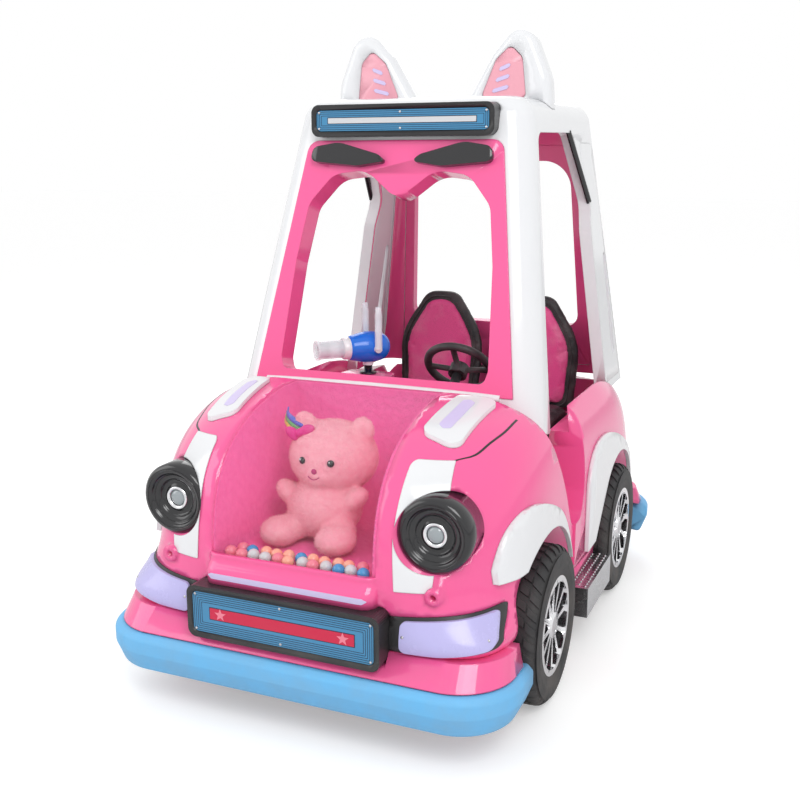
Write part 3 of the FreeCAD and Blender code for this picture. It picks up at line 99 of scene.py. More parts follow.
# %% [markdown]
# ## Shader groups
# Moulded plastic is never one flat colour: the colour clouds a little, the gloss is broken by fine
# scuffs, and dust gathers low down.  A shader node group holds that once, with named inputs, and each
# material places it with its own values.  The group only works out colours, values and heights.  The
# shader itself stays in the material.


# %% Helpers that build node groups
def group(name, inputs, outputs):
    """A shader group with typed sockets; returns the tree and its two end nodes."""
    kinds = {"colour": "NodeSocketColor", "value": "NodeSocketFloat"}
    tree = bpy.data.node_groups.new(name, "ShaderNodeTree")
    for label, kind, value in inputs:
        tree.interface.new_socket(label, in_out="INPUT", socket_type=kinds[kind]).default_value = value
    for label, kind in outputs:
        tree.interface.new_socket(label, in_out="OUTPUT", socket_type=kinds[kind])
    return tree, tree.nodes.new("NodeGroupInput"), tree.nodes.new("NodeGroupOutput")


def plug(tree, value, socket):
    """Feeds a socket, by a link from another socket or with a plain value."""
    if isinstance(value, bpy.types.NodeSocket):
        tree.links.new(value, socket)
    else:
        socket.default_value = value


def add(tree, kind, settings=None, **inputs):
    """A node with its settings and inputs; i0 is the first input, and From_Min is From Min."""
    made = tree.nodes.new(kind)
    for key, value in (settings or {}).items():
        setattr(made, key, value)
    for key, value in inputs.items():
        place = int(key[1:]) if key[0] == "i" and key[1:].isdigit() else key.replace("_", " ")
        plug(tree, value, made.inputs[place])
    return made


def here(tree):
    """The coordinates that stay with a piece as it moves."""
    return tree.nodes.new("ShaderNodeTexCoord").outputs["Object"]


def noise(tree, where, scale, detail, rough=0.5):
    return add(tree, "ShaderNodeTexNoise", Vector=where, Scale=scale, Detail=detail,
               Roughness=rough).outputs["Fac"]


def spread(tree, value, low, high, to_low=0.0, to_high=1.0):
    """A value stretched from one range to another, held inside the second."""
    return add(tree, "ShaderNodeMapRange", {"clamp": True}, Value=value, From_Min=low, From_Max=high,
               To_Min=to_low, To_Max=to_high).outputs["Result"]


def mixed(tree, share, first, second):
    return add(tree, "ShaderNodeMix", {"data_type": "RGBA"}, i0=share, i6=first, i7=second).outputs[2]


def reckon(tree, operation, first, second):
    return add(tree, "ShaderNodeMath", {"operation": operation}, i0=first, i1=second).outputs[0]


def feed(tree, node, values):
    """Feeds a node's sockets by their labels."""
    for label, value in values.items():
        plug(tree, value, node.inputs[label])


# %% Moulded skin: clouded colour, broken gloss, dust near the ground
SURFACE = [("Colour", "colour"), ("Roughness", "value"), ("Height", "value")]
DUST_COLOUR = (0.34, 0.3, 0.27, 1)
DUST_TOP, DUST_FULL = 0.42, 0.1


def build_moulded():
    tree, start, end = group(
        "moulded_skin",
        [("Colour", "colour", (1, 1, 1, 1)), ("Clouding", "value", 0.06), ("Gloss", "value", 0.12),
         ("Scuffs", "value", 0.25), ("Dust", "value", 0.3), ("Grain", "value", 180.0)], SURFACE)
    where = here(tree)
    given = start.outputs
    clouds = noise(tree, where, 5.0, 4.0)
    marks = spread(tree, noise(tree, where, 46.0, 6.0, 0.7), 0.56, 0.7)
    marks = reckon(tree, "MULTIPLY", marks, given["Scuffs"])
    height = add(tree, "ShaderNodeSeparateXYZ", i0=where)
    low = spread(tree, height.outputs["Z"], DUST_TOP, DUST_FULL)
    dusty = reckon(tree, "MULTIPLY", low, spread(tree, noise(tree, where, 14.0, 5.0), 0.35, 0.75))
    dusty = reckon(tree, "MULTIPLY", dusty, given["Dust"])
    dark = add(tree, "ShaderNodeHueSaturation", Value=0.72, Color=given["Colour"])
    share = reckon(tree, "MULTIPLY", spread(tree, clouds, 0.3, 0.75), given["Clouding"])
    tint = mixed(tree, share, given["Colour"], dark.outputs["Color"])
    tint = mixed(tree, reckon(tree, "MULTIPLY", dusty, 0.55), tint, DUST_COLOUR)
    rough = reckon(tree, "ADD", given["Gloss"], reckon(tree, "MULTIPLY", marks, 0.5))
    rough = reckon(tree, "ADD", rough, reckon(tree, "MULTIPLY", dusty, 0.45))
    fine = noise(tree, where, given["Grain"], 2.0)
    tall = reckon(tree, "SUBTRACT", fine, reckon(tree, "MULTIPLY", marks, 0.6))
    feed(tree, end, {"Colour": tint, "Roughness": rough, "Height": tall})
    return tree


# %% Pile: the short soft fibres of plush and lining, with painted shade in their hollows
def build_pile():
    tree, start, end = group(
        "soft_pile",
        [("Colour", "colour", (1, 1, 1, 1)), ("Deep", "colour", (0.3, 0.1, 0.15, 1)),
         ("Fibres", "value", 420.0), ("Tufts", "value", 60.0)], SURFACE)
    where = here(tree)
    given = start.outputs
    stretch = add(tree, "ShaderNodeMapping", Vector=where, Scale=(1.0, 1.0, 0.35))
    fibre = noise(tree, stretch.outputs[0], given["Fibres"], 4.0, 0.7)
    tuft = add(tree, "ShaderNodeTexVoronoi", Vector=where, Scale=given["Tufts"]).outputs["Distance"]
    # Painted shade: the colour is drawn towards the shade colour where the fibres sit low and towards each
    # tuft's edge, in the gaps between tufts.
    deep = reckon(tree, "MULTIPLY", spread(tree, fibre, 0.65, 0.3), 0.55)
    tint = mixed(tree, deep, given["Colour"], given["Deep"])
    tint = mixed(tree, spread(tree, tuft, 0.35, 0.8, 0.0, 0.35), tint, given["Deep"])
    tall = reckon(tree, "ADD", fibre, reckon(tree, "MULTIPLY", tuft, -0.6))
    feed(tree, end, {"Colour": tint, "Roughness": spread(tree, fibre, 0, 1, 0.75, 1.0), "Height": tall})
    return tree


# %% Leather grain: the cells and creases of vinyl seats, with painted shade in the creases
WORN_COLOUR, CREASE_SHADE = (0.75, 0.62, 0.62, 1), (0.03, 0.01, 0.015, 1)


def build_vinyl():
    tree, start, end = group(
        "vinyl_grain",
        [("Colour", "colour", (1, 1, 1, 1)), ("Cells", "value", 330.0), ("Wear", "value", 0.2)], SURFACE)
    where = here(tree)
    given = start.outputs
    cells = add(tree, "ShaderNodeTexVoronoi", {"feature": "DISTANCE_TO_EDGE"}, Vector=where,
                Scale=given["Cells"])
    creases = spread(tree, cells.outputs["Distance"], 0.0, 0.12)
    worn = reckon(tree, "MULTIPLY", spread(tree, noise(tree, where, 11.0, 4.0), 0.45, 0.7), given["Wear"])
    pale = mixed(tree, worn, given["Colour"], WORN_COLOUR)
    # Painted shade: the colour darkens towards the crease shade along each cell's edge, where the creases sit
    # low.
    tint = mixed(tree, spread(tree, creases, 0.0, 1.0, 0.25, 0.0), pale, CREASE_SHADE)
    feed(tree, end, {"Colour": tint, "Roughness": spread(tree, creases, 0, 1, 0.62, 0.42), "Height": creases})
    return tree


GROUPS = {"moulded": build_moulded(), "pile": build_pile(), "vinyl": build_vinyl()}
print("shader groups:", ", ".join(GROUPS))

# %% [markdown]
# ## Finishes
# Each finish is one material: the group works out colour, roughness and height, and a Principled BSDF
# in the material turns them into light.  A Bevel node rounds the look of a moulding's hard edges, as
# every real moulding has a small radius where its faces meet.


# %% One maker for every finish
def new_material(name):
    """A material, its node tree and its Principled shader."""
    made = bpy.data.materials.new(name)
    made.use_nodes = True
    return made, made.node_tree, made.node_tree.nodes["Principled BSDF"]


def finish(name, kind, colour, bump=0.15, depth=0.0006, edge=0.0, shader=None, **values):
    """A material round one group: values go to the group, and shader goes to the Principled BSDF."""
    made, tree, surface = new_material(name)
    skin = tree.nodes.new("ShaderNodeGroup")
    skin.node_tree = GROUPS[kind]
    skin.inputs["Colour"].default_value = (*colour, 1)
    for label, value in values.items():
        skin.inputs[label].default_value = (*value, 1) if isinstance(value, tuple) else value
    lift = add(tree, "ShaderNodeBump", Strength=bump, Distance=depth, Height=skin.outputs["Height"])
    if edge > 0:
        soft = add(tree, "ShaderNodeBevel", {"samples": 4}, Radius=edge)
        plug(tree, soft.outputs[0], lift.inputs["Normal"])
    feed(tree, surface, {"Normal": lift.outputs[0], "Base Color": skin.outputs["Colour"],
                         "Roughness": skin.outputs["Roughness"], **(shader or {})})
    return made


GLOSSY = {"Coat Weight": 0.35, "Coat Roughness": 0.06}
PINK = finish("hot_pink_moulding", "moulded", (0.92, 0.11, 0.33), edge=0.004, shader=GLOSSY)
WHITE = finish("white_moulding", "moulded", (0.80, 0.81, 0.83), edge=0.004, shader=GLOSSY, Clouding=0.03)
BLACK = finish("black_gloss", "moulded", (0.012, 0.012, 0.014), edge=0.002, shader=GLOSSY, Dust=0.15)
BAND = finish("black_satin", "moulded", (0.02, 0.02, 0.022), edge=0.002, Gloss=0.32, Scuffs=0.35)
LAVENDER = finish("lavender_strip", "moulded", (0.66, 0.58, 0.86), edge=0.001, Gloss=0.3)
BUFFER = finish("blue_buffer_rubber", "moulded", (0.15, 0.49, 0.84), bump=0.3, edge=0.004, Gloss=0.5,
                Scuffs=0.5, Dust=0.45, Grain=320.0)
TYRE = finish("tyre_rubber", "moulded", (0.022, 0.022, 0.024), bump=0.35, Gloss=0.62, Scuffs=0.3,
              Dust=0.5, Grain=420.0)
CHROME = finish("polished_rim", "moulded", (0.82, 0.82, 0.84), bump=0.02, Gloss=0.08, Scuffs=0.25,
                Dust=0.2, shader={"Metallic": 1.0})
STEEL = finish("pressed_steel", "moulded", (0.6, 0.6, 0.62), bump=0.05, Gloss=0.22, Scuffs=0.5, Dust=0.3,
               shader={"Metallic": 1.0})
ENAMEL = finish("frame_enamel", "moulded", (0.03, 0.03, 0.034), edge=0.002, Gloss=0.4, Scuffs=0.6, Dust=0.7)
LAMP = finish("lamp_lens", "moulded", (0.51, 0.48, 0.82), edge=0.002, Gloss=0.24, Scuffs=0.1,
              shader={"Coat Weight": 0.2})
PANEL_BLUE = finish("panel_blue", "moulded", (0.055, 0.25, 0.46), Gloss=0.28, Dust=0.1)
NAVY = finish("pinstripe_navy", "moulded", (0.006, 0.02, 0.05), Gloss=0.3, Dust=0.1)
RED = finish("panel_red", "moulded", (0.62, 0.01, 0.06), Gloss=0.3, Dust=0.1)
STAR = finish("star_pink", "moulded", (0.85, 0.22, 0.3), Gloss=0.3, Dust=0.1)
PALE = finish("panel_white", "moulded", (0.62, 0.64, 0.66), Gloss=0.3, Dust=0.1)
EAR_PINK = finish("ear_pink", "moulded", (0.86, 0.40, 0.48), edge=0.002, Gloss=0.3)
PEACH = finish("peach_ball", "moulded", (0.95, 0.42, 0.30), Gloss=0.2)
BALL_BLUE = finish("blue_ball", "moulded", (0.05, 0.30, 0.62), Gloss=0.2)
GUN_BLUE = finish("gun_blue", "moulded", (0.01, 0.16, 0.72), edge=0.002, Gloss=0.15)
TAIL_RED = finish("tail_lens", "moulded", (0.6, 0.01, 0.02), Gloss=0.08, shader={"Coat Weight": 0.5})
MAT_BLACK = finish("ribbed_mat", "moulded", (0.03, 0.03, 0.032), bump=0.3, Gloss=0.7, Dust=0.6)
BATTERY = finish("battery_case", "moulded", (0.05, 0.05, 0.055), Gloss=0.5)
# The second colour of each pile finish is the painted shade in the pile's hollows and between its tufts.
PLUSH = finish("plush_pink", "pile", (1.0, 0.50, 0.57), bump=0.8, depth=0.004, Deep=(0.95, 0.30, 0.43),
               shader={"Sheen Weight": 0.25, "Sheen Roughness": 0.4})
LINING = finish("lining_pile", "pile", (1.0, 0.15, 0.42), bump=0.7, depth=0.003, Deep=(0.90, 0.10, 0.33),
                Fibres=260.0, shader={"Sheen Weight": 0.08})
PLUSH_DARK = finish("plush_stitch", "pile", (0.55, 0.05, 0.2), bump=0.4, depth=0.002, Deep=(0.3, 0.02, 0.1))
SATIN = finish("bow_satin", "vinyl", (0.72, 0.02, 0.25), bump=0.15, depth=0.0004, Cells=600.0)
SATIN_BLUE = finish("ribbon_blue", "vinyl", (0.10, 0.14, 0.62), bump=0.15, depth=0.0004, Cells=600.0)
SATIN_GREEN = finish("ribbon_green", "vinyl", (0.16, 0.52, 0.18), bump=0.15, depth=0.0004, Cells=600.0)
SATIN_YELLOW = finish("ribbon_yellow", "vinyl", (0.80, 0.70, 0.16), bump=0.15, depth=0.0004, Cells=600.0)
VINYL_PINK = finish("pink_vinyl", "vinyl", (0.84, 0.08, 0.3), bump=0.25, depth=0.0005)
VINYL_BLACK = finish("black_vinyl", "vinyl", (0.02, 0.02, 0.022), bump=0.3, depth=0.0005, Wear=0.08)
print("finishes:", len(bpy.data.materials))


# %% [markdown]
# ## Clear plastic
# The showcase's cover and the cannon's tubes are clear.  Real refraction would need thick, closed panes
# and much time, so these are thin panes that are mostly air: a low alpha with faint smears, and the
# shader's own gloss where light meets them at a slant.

# %% Clear plastic and lamp glass
SMEAR_GAIN = 1.6
CLEAR_ROUGH, HAZE_ROUGH = 0.04, 0.12


def clear(name, tint, cover, gloss=0.5):
    made, tree, surface = new_material(name)
    made.surface_render_method = "BLENDED"
    where = here(tree)
    smears = spread(tree, noise(tree, where, 7.0, 5.0), 0.4, 0.8, cover, cover * SMEAR_GAIN)
    haze = spread(tree, noise(tree, where, 30.0, 3.0), 0.3, 0.8, CLEAR_ROUGH, HAZE_ROUGH)
    colour = mixed(tree, smears, (*tint, 1), (1, 1, 1, 1))
    feed(tree, surface, {"Alpha": smears, "Roughness": haze, "Base Color": colour, "Specular IOR Level": gloss})
    return made


COVER = clear("showcase_clear", (0.95, 0.97, 1.0), 0.012, gloss=0.25)
TUBE = clear("tube_clear", (0.8, 0.88, 0.95), 0.4)
GLASS = finish("lamp_glass", "moulded", (0.30, 0.34, 0.36), bump=0.1, Gloss=0.05, Dust=0.0,
               shader={"Coat Weight": 1.0, "Specular IOR Level": 0.8})
print("finishes with the clear ones:", len(bpy.data.materials))

# %% [markdown]
# ## Smooth mouldings
# The frame's meshes are loose triangles, so light breaks at every one.  A copy of each curved piece is
# merged into one skin and shaded smooth, and stays sharp only where two faces meet at a real edge.  The
# copy rides on the same body and stands for the piece.  The cab's copy gets a second finish inside.

# %% Merge a node into one smooth skin
BODY_OF = {node: body for body, held in behaviour["bodies"].items() for node in held}
WHEELS = ("front_left", "front_right", "rear_left", "rear_right")
WELD = 0.02 * MM


def corners(node):
    """The low and the high corner of a node's box."""
    return [Vector(corner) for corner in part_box(node)]


def settle(name, mesh, body, replaced=(), smooth=None):
    """Shades a finished mesh, stands it at the origin and lets it ride on its body."""
    if smooth is not None:
        mesh.shade_smooth()
        mesh.set_sharp_from_angle(angle=math.radians(smooth))
    piece = in_place(name, mesh)
    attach(piece, body)
    if replaced:
        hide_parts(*replaced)
    return piece


def keep(name, bm, material, body="car", replaced=(), smooth=None):
    """Makes one finished piece of a bmesh, with one finish or several."""
    mesh = mesh_of(name, bm)
    for each in material if isinstance(material, tuple) else (material,):
        mesh.materials.append(each)
    return settle(name, mesh, body, replaced, smooth)


def dressed(node, material, smooth=32, pick=None):
    """A smooth copy of a node; pick(face) may choose its second finish."""
    bm = bmesh.new()
    bm.from_mesh(nodes[node].data)
    bmesh.ops.remove_doubles(bm, verts=bm.verts, dist=WELD)
    if pick:
        for face in bm.faces:
            face.material_index = 1 if pick(face) else 0
    return keep(node + "_skin", bm, material, BODY_OF[node], [node], smooth)


# %% The cab is white outside and pink inside
CAB_WALL = 0.03
CAB_FOOT, CAB_RISE = 0.6, 0.89
CAB_SIDE, CAB_FRONT, CAB_REAR = (0.455, 0.33), (-0.297, -0.055), (0.752, 0.655)
ROOF_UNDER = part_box("cab_shell")[1][2] - 0.045


def cab_plane(z, ends):
    """Where one of the cab's leaning faces stands at a height, from its foot and its roof."""
    foot, roof = ends
    return foot + (roof - foot) * (z - CAB_FOOT) / CAB_RISE


def inside_cab(face):
    x, y, z = face.calc_center_median()
    within = cab_plane(z, CAB_FRONT) + CAB_WALL < y < cab_plane(z, CAB_REAR) - CAB_WALL
    return within and abs(x) < cab_plane(z, CAB_SIDE) - CAB_WALL and z < ROOF_UNDER


dressed("cab_shell", (WHITE, PINK), pick=inside_cab)
for node, material in {
    "body_base": PINK, "front_shell": PINK, "rear_shell": PINK, "windscreen_surround": PINK,
    "rear_window_panel": PINK, "dash_shelf": PINK, "ear_panels": EAR_PINK, "ears": WHITE,
    "arch_flares": WHITE, "vent_pods": WHITE, "cheek_patches": WHITE, "quarter_handles": WHITE,
    "front_bumper": BUFFER, "rear_bumper": BUFFER, "lamp_band": BAND, "light_bars": LAMP,
    "headlamps": BLACK, "front_plate": BAND, "roof_sign": BAND, "brow_lamps": BLACK,
    "showcase_liner": LINING, "showcase_cover": COVER, "tail_lamps": TAIL_RED, "side_steps": STEEL,
    "steering_column": ENAMEL, "gun_pedestal": BLACK, "knuckle_left": ENAMEL, "knuckle_right": ENAMEL,
    "tie_rod": ENAMEL, "front_axle": ENAMEL, "rear_axle": ENAMEL, "pedals": BLACK,
    **{"rim_" + label: CHROME for label in WHEELS},
}.items():
    dressed(node, material)
AS_PACKED = {"chassis_frame": ENAMEL, "floor_pan": MAT_BLACK, "battery_block": BATTERY,
             "seat_box": VINYL_BLACK}
for node, material in AS_PACKED.items():
    nodes[node].data.materials.clear()
    nodes[node].data.materials.append(material)
print("nodes dressed; still as packed:", ", ".join(AS_PACKED))

# %% [markdown]
# ## Tyres
# A scooter tyre is a lathe form: one section turned about the axle.  Its tread is the same rubber block
# again and again, so Geometry Nodes set one block round the axle and turn each copy by its share of a
# full turn.  The tree ends by making the copies real, and a plain mesh is taken from it.


# %% Rows of faces, and a lathe about the wheel's own axle
def bridge(bm, near, far, closed=False):
    """Faces between two rows of points, as many in one as in the other."""
    count = len(near)
    for index in range(count if closed else count - 1):
        after = (index + 1) % count
        bm.faces.new([near[index], near[after], far[after], far[index]])


def closed_grids(bm, upper, lower):
    """Faces over two grids of points and round the gap between their rims."""
    for grid in (upper, lower):
        for near, far in zip(grid, grid[1:]):
            bridge(bm, near, far)
    for end in (0, -1):
        bridge(bm, upper[end], lower[end])
        bridge(bm, [row[end] for row in upper], [row[end] for row in lower])
    bmesh.ops.recalc_face_normals(bm, faces=bm.faces)


def lathe(section, steps, centre=(0, 0, 0), axis="X", closed=True):
    """Turns a section of (along, radius) points about an axis through the centre."""
    bm = bmesh.new()
    rings = []
    for step in range(steps):
        turn = 2 * math.pi * step / steps
        ring = []
        for along, radius in section:
            u, v = radius * math.cos(turn), radius * math.sin(turn)
            point = {"X": (along, u, v), "Y": (u, along, v), "Z": (u, v, along)}[axis]
            ring.append(bm.verts.new(Vector(point) + Vector(centre)))
        rings.append(ring)
    for step in range(steps):
        bridge(bm, rings[step], rings[(step + 1) % steps], closed)
    bmesh.ops.remove_doubles(bm, verts=bm.verts, dist=1e-6)
    bmesh.ops.recalc_face_normals(bm, faces=bm.faces)
    return bm


# %% A tree that sets copies round an axis
def growing_tree(name, inputs):
    """A geometry tree that takes a mesh, some values and a finish; returns it and its inputs."""
    tree = bpy.data.node_groups.new(name, "GeometryNodeTree")
    for label, kind, value in (("Geometry", "Geometry", None), *inputs, ("Finish", "Material", None)):
        socket = tree.interface.new_socket(label, in_out="INPUT", socket_type="NodeSocket" + kind)
        if value is not None:
            socket.default_value = value
    tree.interface.new_socket("Geometry", in_out="OUTPUT", socket_type="NodeSocketGeometry")
    return tree, tree.nodes.new("NodeGroupInput").outputs


def made_real(tree, copies, finish_given):
    """Ends a tree: the copies become plain mesh and get the finish."""
    real = add(tree, "GeometryNodeRealizeInstances", Geometry=copies.outputs[0])
    coated = add(tree, "GeometryNodeSetMaterial", Geometry=real.outputs[0], Material=finish_given)
    feed(tree, tree.nodes.new("NodeGroupOutput"), {"Geometry": coated.outputs[0]})
    return tree


def ring_tree():
    tree, given = growing_tree("copies_round_an_axis", (
        ("Count", "Int", 8), ("Axis", "Vector", (1, 0, 0)), ("Centre", "Vector", (0, 0, 0)),
        ("Start", "Float", 0.0)))
    share = reckon(tree, "DIVIDE", 2 * math.pi, given["Count"])
    index = tree.nodes.new("GeometryNodeInputIndex").outputs[0]
    angle = add(tree, "ShaderNodeMath", {"operation": "MULTIPLY_ADD"}, i0=index, i1=share, i2=given["Start"])
    turn = add(tree, "FunctionNodeAxisAngleToRotation", Axis=given["Axis"], Angle=angle.outputs[0])
    points = add(tree, "GeometryNodePoints", Count=given["Count"])
    copies = add(tree, "GeometryNodeInstanceOnPoints", Points=points.outputs[0], Instance=given["Geometry"],
                 Rotation=turn.outputs[0])
    moved = add(tree, "GeometryNodeTransform", Geometry=copies.outputs[0], Translation=given["Centre"])
    return made_real(tree, moved, given["Finish"])


def evaluated_mesh(piece, name):
    """The plain mesh that a piece's modifiers make."""
    bpy.context.view_layer.update()
    ready = piece.evaluated_get(bpy.context.evaluated_depsgraph_get())
    mesh = bpy.data.meshes.new_from_object(ready)
    mesh.name = name
    return mesh


def grown(name, bm, tree, body, material, smooth=None, **values):
    """Runs a tree on a seed mesh and keeps the plain mesh that it makes."""
    seed = in_place(name + "_seed", mesh_of(name + "_seed", bm))
    modifier = seed.modifiers.new("grow", "NODES")
    modifier.node_group = tree
    named = {item.name: item.identifier for item in tree.interface.items_tree if item.in_out == "INPUT"}
    for label, value in dict(values, Finish=material).items():
        modifier[named[label]] = value
    mesh = evaluated_mesh(seed, name)
    bpy.data.objects.remove(seed)
    return settle(name, mesh, body, smooth=smooth)


RING = ring_tree()

# %% The section and one tread block
TREAD_DEPTH = 5 * MM
TREAD_COLUMNS = 4
SIDE_DROP = 28 * MM
SIDE_WALL = ((0.965, 0.905), (1.0, 0.84), (0.985, 0.79), (1.0, 0.775), (0.985, 0.76), (0.975, 0.7),
             (0.9, 0.635))
BEAD_RADIUS = 0.1185


def crown(across, radius, half):
    """How far the tyre's surface is from the axle, at a distance across its width."""
    return radius - SIDE_DROP * min(1, abs(across) / half) ** 5


def tyre_section(radius, half):
    """The tyre's outline, groove floor in the tread and raised rings on the walls."""
    floor = [half * 0.9 * step / 12 for step in range(-12, 13)]
    right = [(half * across, radius * share) for across, share in SIDE_WALL]
    foot = [(half * 0.84, BEAD_RADIUS), (-half * 0.84, BEAD_RADIUS)]
    left = [(-across, high) for across, high in reversed(right)]
    return [(across, crown(across, radius, half) - TREAD_DEPTH) for across in floor] + right + foot + left


def tread_block(low, high, skew, length, radius, half):
    """A block between two distances across the tyre, slanted, following the crown."""
    bm = bmesh.new()
    grids = []
    for lift, shrink in ((-TREAD_DEPTH * 1.15, 1.0), (0.0, 0.82)):
        grid = []
        for column in range(TREAD_COLUMNS + 1):
            share = column / TREAD_COLUMNS
            across = low + (high - low) * share
            reach = crown(across, radius, half) + lift
            row = []
            for end in (-1, 0, 1):
                turn = (skew * share + end * length / 2 * shrink) / radius
                row.append(bm.verts.new((across, -reach * math.sin(turn), reach * math.cos(turn))))
            grid.append(row)
        grids.append(grid)
    closed_grids(bm, *grids)
    return bm


# %% Four tyres, each with three rows of blocks
TREAD_COUNT = 34
AXLE = (1.0, 0.0, 0.0)
# Each row: from and to across the tyre, slant, length round the tyre, and its start as a share of a step.
TREAD_ROWS = {"middle": (-0.012, 0.012, 0.012, 0.024, 0.0), "inner": (0.016, 0.039, 0.016, 0.022, 0.5),
              "outer": (-0.016, -0.039, 0.016, 0.022, 0.5)}
for label in WHEELS:
    node = "tyre_" + label
    low, high = corners(node)
    centre = (low + high) / 2
    radius, half = (high.z - low.z) / 2, (high.x - low.x) / 2
    keep("tyre_body_" + label, lathe(tyre_section(radius, half), 96, centre), TYRE, BODY_OF[node], [node], 40)
    for row, (near, far, skew, length, start) in TREAD_ROWS.items():
        block = tread_block(near, far, skew, length, radius, half)
        grown(f"tread_{row}_{label}", block, RING, BODY_OF[node], TYRE, 30, Count=TREAD_COUNT, Axis=AXLE,
              Centre=tuple(centre), Start=start * 2 * math.pi / TREAD_COUNT)
print("tread blocks on each tyre:", len(TREAD_ROWS) * TREAD_COUNT)

# %% [markdown]
# ## Wheel trim
# A polished cap, a dark band behind the spokes' ends and a ring of nuts make the cast rim read as a
# wheel.  The cap is a small lathe form, and the nuts are one six-sided form set round the hub.


# %% Caps, nuts and brake drums
HUB_CAP = ((-0.010, 0.0), (-0.010, 0.0235), (-0.003, 0.0235), (0.0005, 0.021), (0.002, 0.015), (0.0035, 0.0))
DRUM = ((-0.052, 0.030), (-0.052, 0.092), (-0.046, 0.096), (-0.040, 0.096), (-0.040, 0.030))
NUT_RADIUS, NUT_HEIGHT, NUT_PLACE = 0.0052, 0.006, (-0.0055, 0.0275)
for label in WHEELS:
    low, high = corners("rim_" + label)
    side = 1 if low.x > 0 else -1
    centre = (low + high) / 2
    body = BODY_OF["rim_" + label]
    hub = ((high.x if side > 0 else low.x) - side * 4 * MM, centre.y, centre.z)
    cap, drum = ([(side * along, radius) for along, radius in section] for section in (HUB_CAP, DRUM))
    keep("hub_cap_" + label, lathe(cap, 40, hub, closed=False), STEEL, body, smooth=30)
    keep("brake_drum_" + label, lathe(drum, 48, hub), ENAMEL, body, smooth=30)
    nut = bmesh.new()
    bmesh.ops.create_cone(nut, cap_ends=True, segments=6, radius1=NUT_RADIUS, radius2=NUT_RADIUS * 0.86,
                          depth=NUT_HEIGHT)
    bmesh.ops.rotate(nut, verts=nut.verts, matrix=Matrix.Rotation(math.pi / 2, 3, "Y"))
    bmesh.ops.translate(nut, verts=nut.verts, vec=(side * NUT_PLACE[0], 0, NUT_PLACE[1]))
    grown("wheel_nuts_" + label, nut, RING, body, STEEL, Count=6, Axis=AXLE, Centre=hub, Start=0.26)

# %% [markdown]
# ## Signs
# The plate and the roof sign are screwed panels in black boxes: a blue field with dark pinstripes, each
# stripe a rounded rectangle smaller than the last, and a plain band in the middle.  A stripe is the gap
# between two outlines, so one function makes them all.


# %% Outlines, the plates inside them and the stripes between two of them
CORNER_STEPS = 6


def rounded_outline(wide, tall, corner):
    points = []
    for index, (sx, sz) in enumerate(((1, 1), (-1, 1), (-1, -1), (1, -1))):
        for step in range(CORNER_STEPS + 1):
            turn = math.pi / 2 * (index + step / CORNER_STEPS)
            points.append((sx * (wide - corner) + corner * math.cos(turn),
                           sz * (tall - corner) + corner * math.sin(turn)))
    return points


def star_outline(radius, middle):
    """Five points, with corners between them at under half the radius."""
    points = []
    for step in range(10):
        reach = radius if step % 2 == 0 else radius * 0.42
        turn = math.pi / 2 + math.pi * step / 5
        points.append((middle[0] + reach * math.cos(turn), middle[1] + reach * math.sin(turn)))
    return points


def stripe(bm, outer, inner, place, near, far):
    """A flat ring between two outlines of the same count, from one depth to another."""
    rows = [[bm.verts.new(place(u, v, deep)) for u, v in outline]
            for outline, deep in ((outer, near), (outer, far), (inner, far), (inner, near))]
    for first, second in zip(rows, rows[1:]):
        bridge(bm, first, second, closed=True)


def slab(outlines, place, near, far):
    """Closed plates of some outlines between two depths."""
    bm = bmesh.new()
    for outline in outlines:
        rows = [[bm.verts.new(place(u, v, deep)) for u, v in outline] for deep in (near, far)]
        bm.faces.new(rows[0])
        bm.faces.new(list(reversed(rows[1])))
        bridge(bm, *rows, closed=True)
    bmesh.ops.recalc_face_normals(bm, faces=bm.faces)
    return bm


def ball(bm, radius, segments, rings, stretch, place, turn=None):
    """A round form, stretched, turned and set in its place; returns its points."""
    verts = bmesh.ops.create_uvsphere(bm, u_segments=segments, v_segments=rings, radius=radius)["verts"]
    bmesh.ops.scale(bm, verts=verts, vec=stretch)
    if turn is not None:
        bmesh.ops.rotate(bm, verts=verts, matrix=turn)
    bmesh.ops.translate(bm, verts=verts, vec=place)
    return verts


# %% Two sign panels with stripes, bands, stars and screws
SIGN_STEP = 5.2 * MM
SIGN_SINK, SIGN_MARGIN, SIGN_CORNER = 5 * MM, 15 * MM, 12 * MM
FIELD_THICK, LINE_WIDE, LINE_THICK = 1 * MM, 1.3 * MM, 0.25 * MM
SCREW_FLAT = 0.45


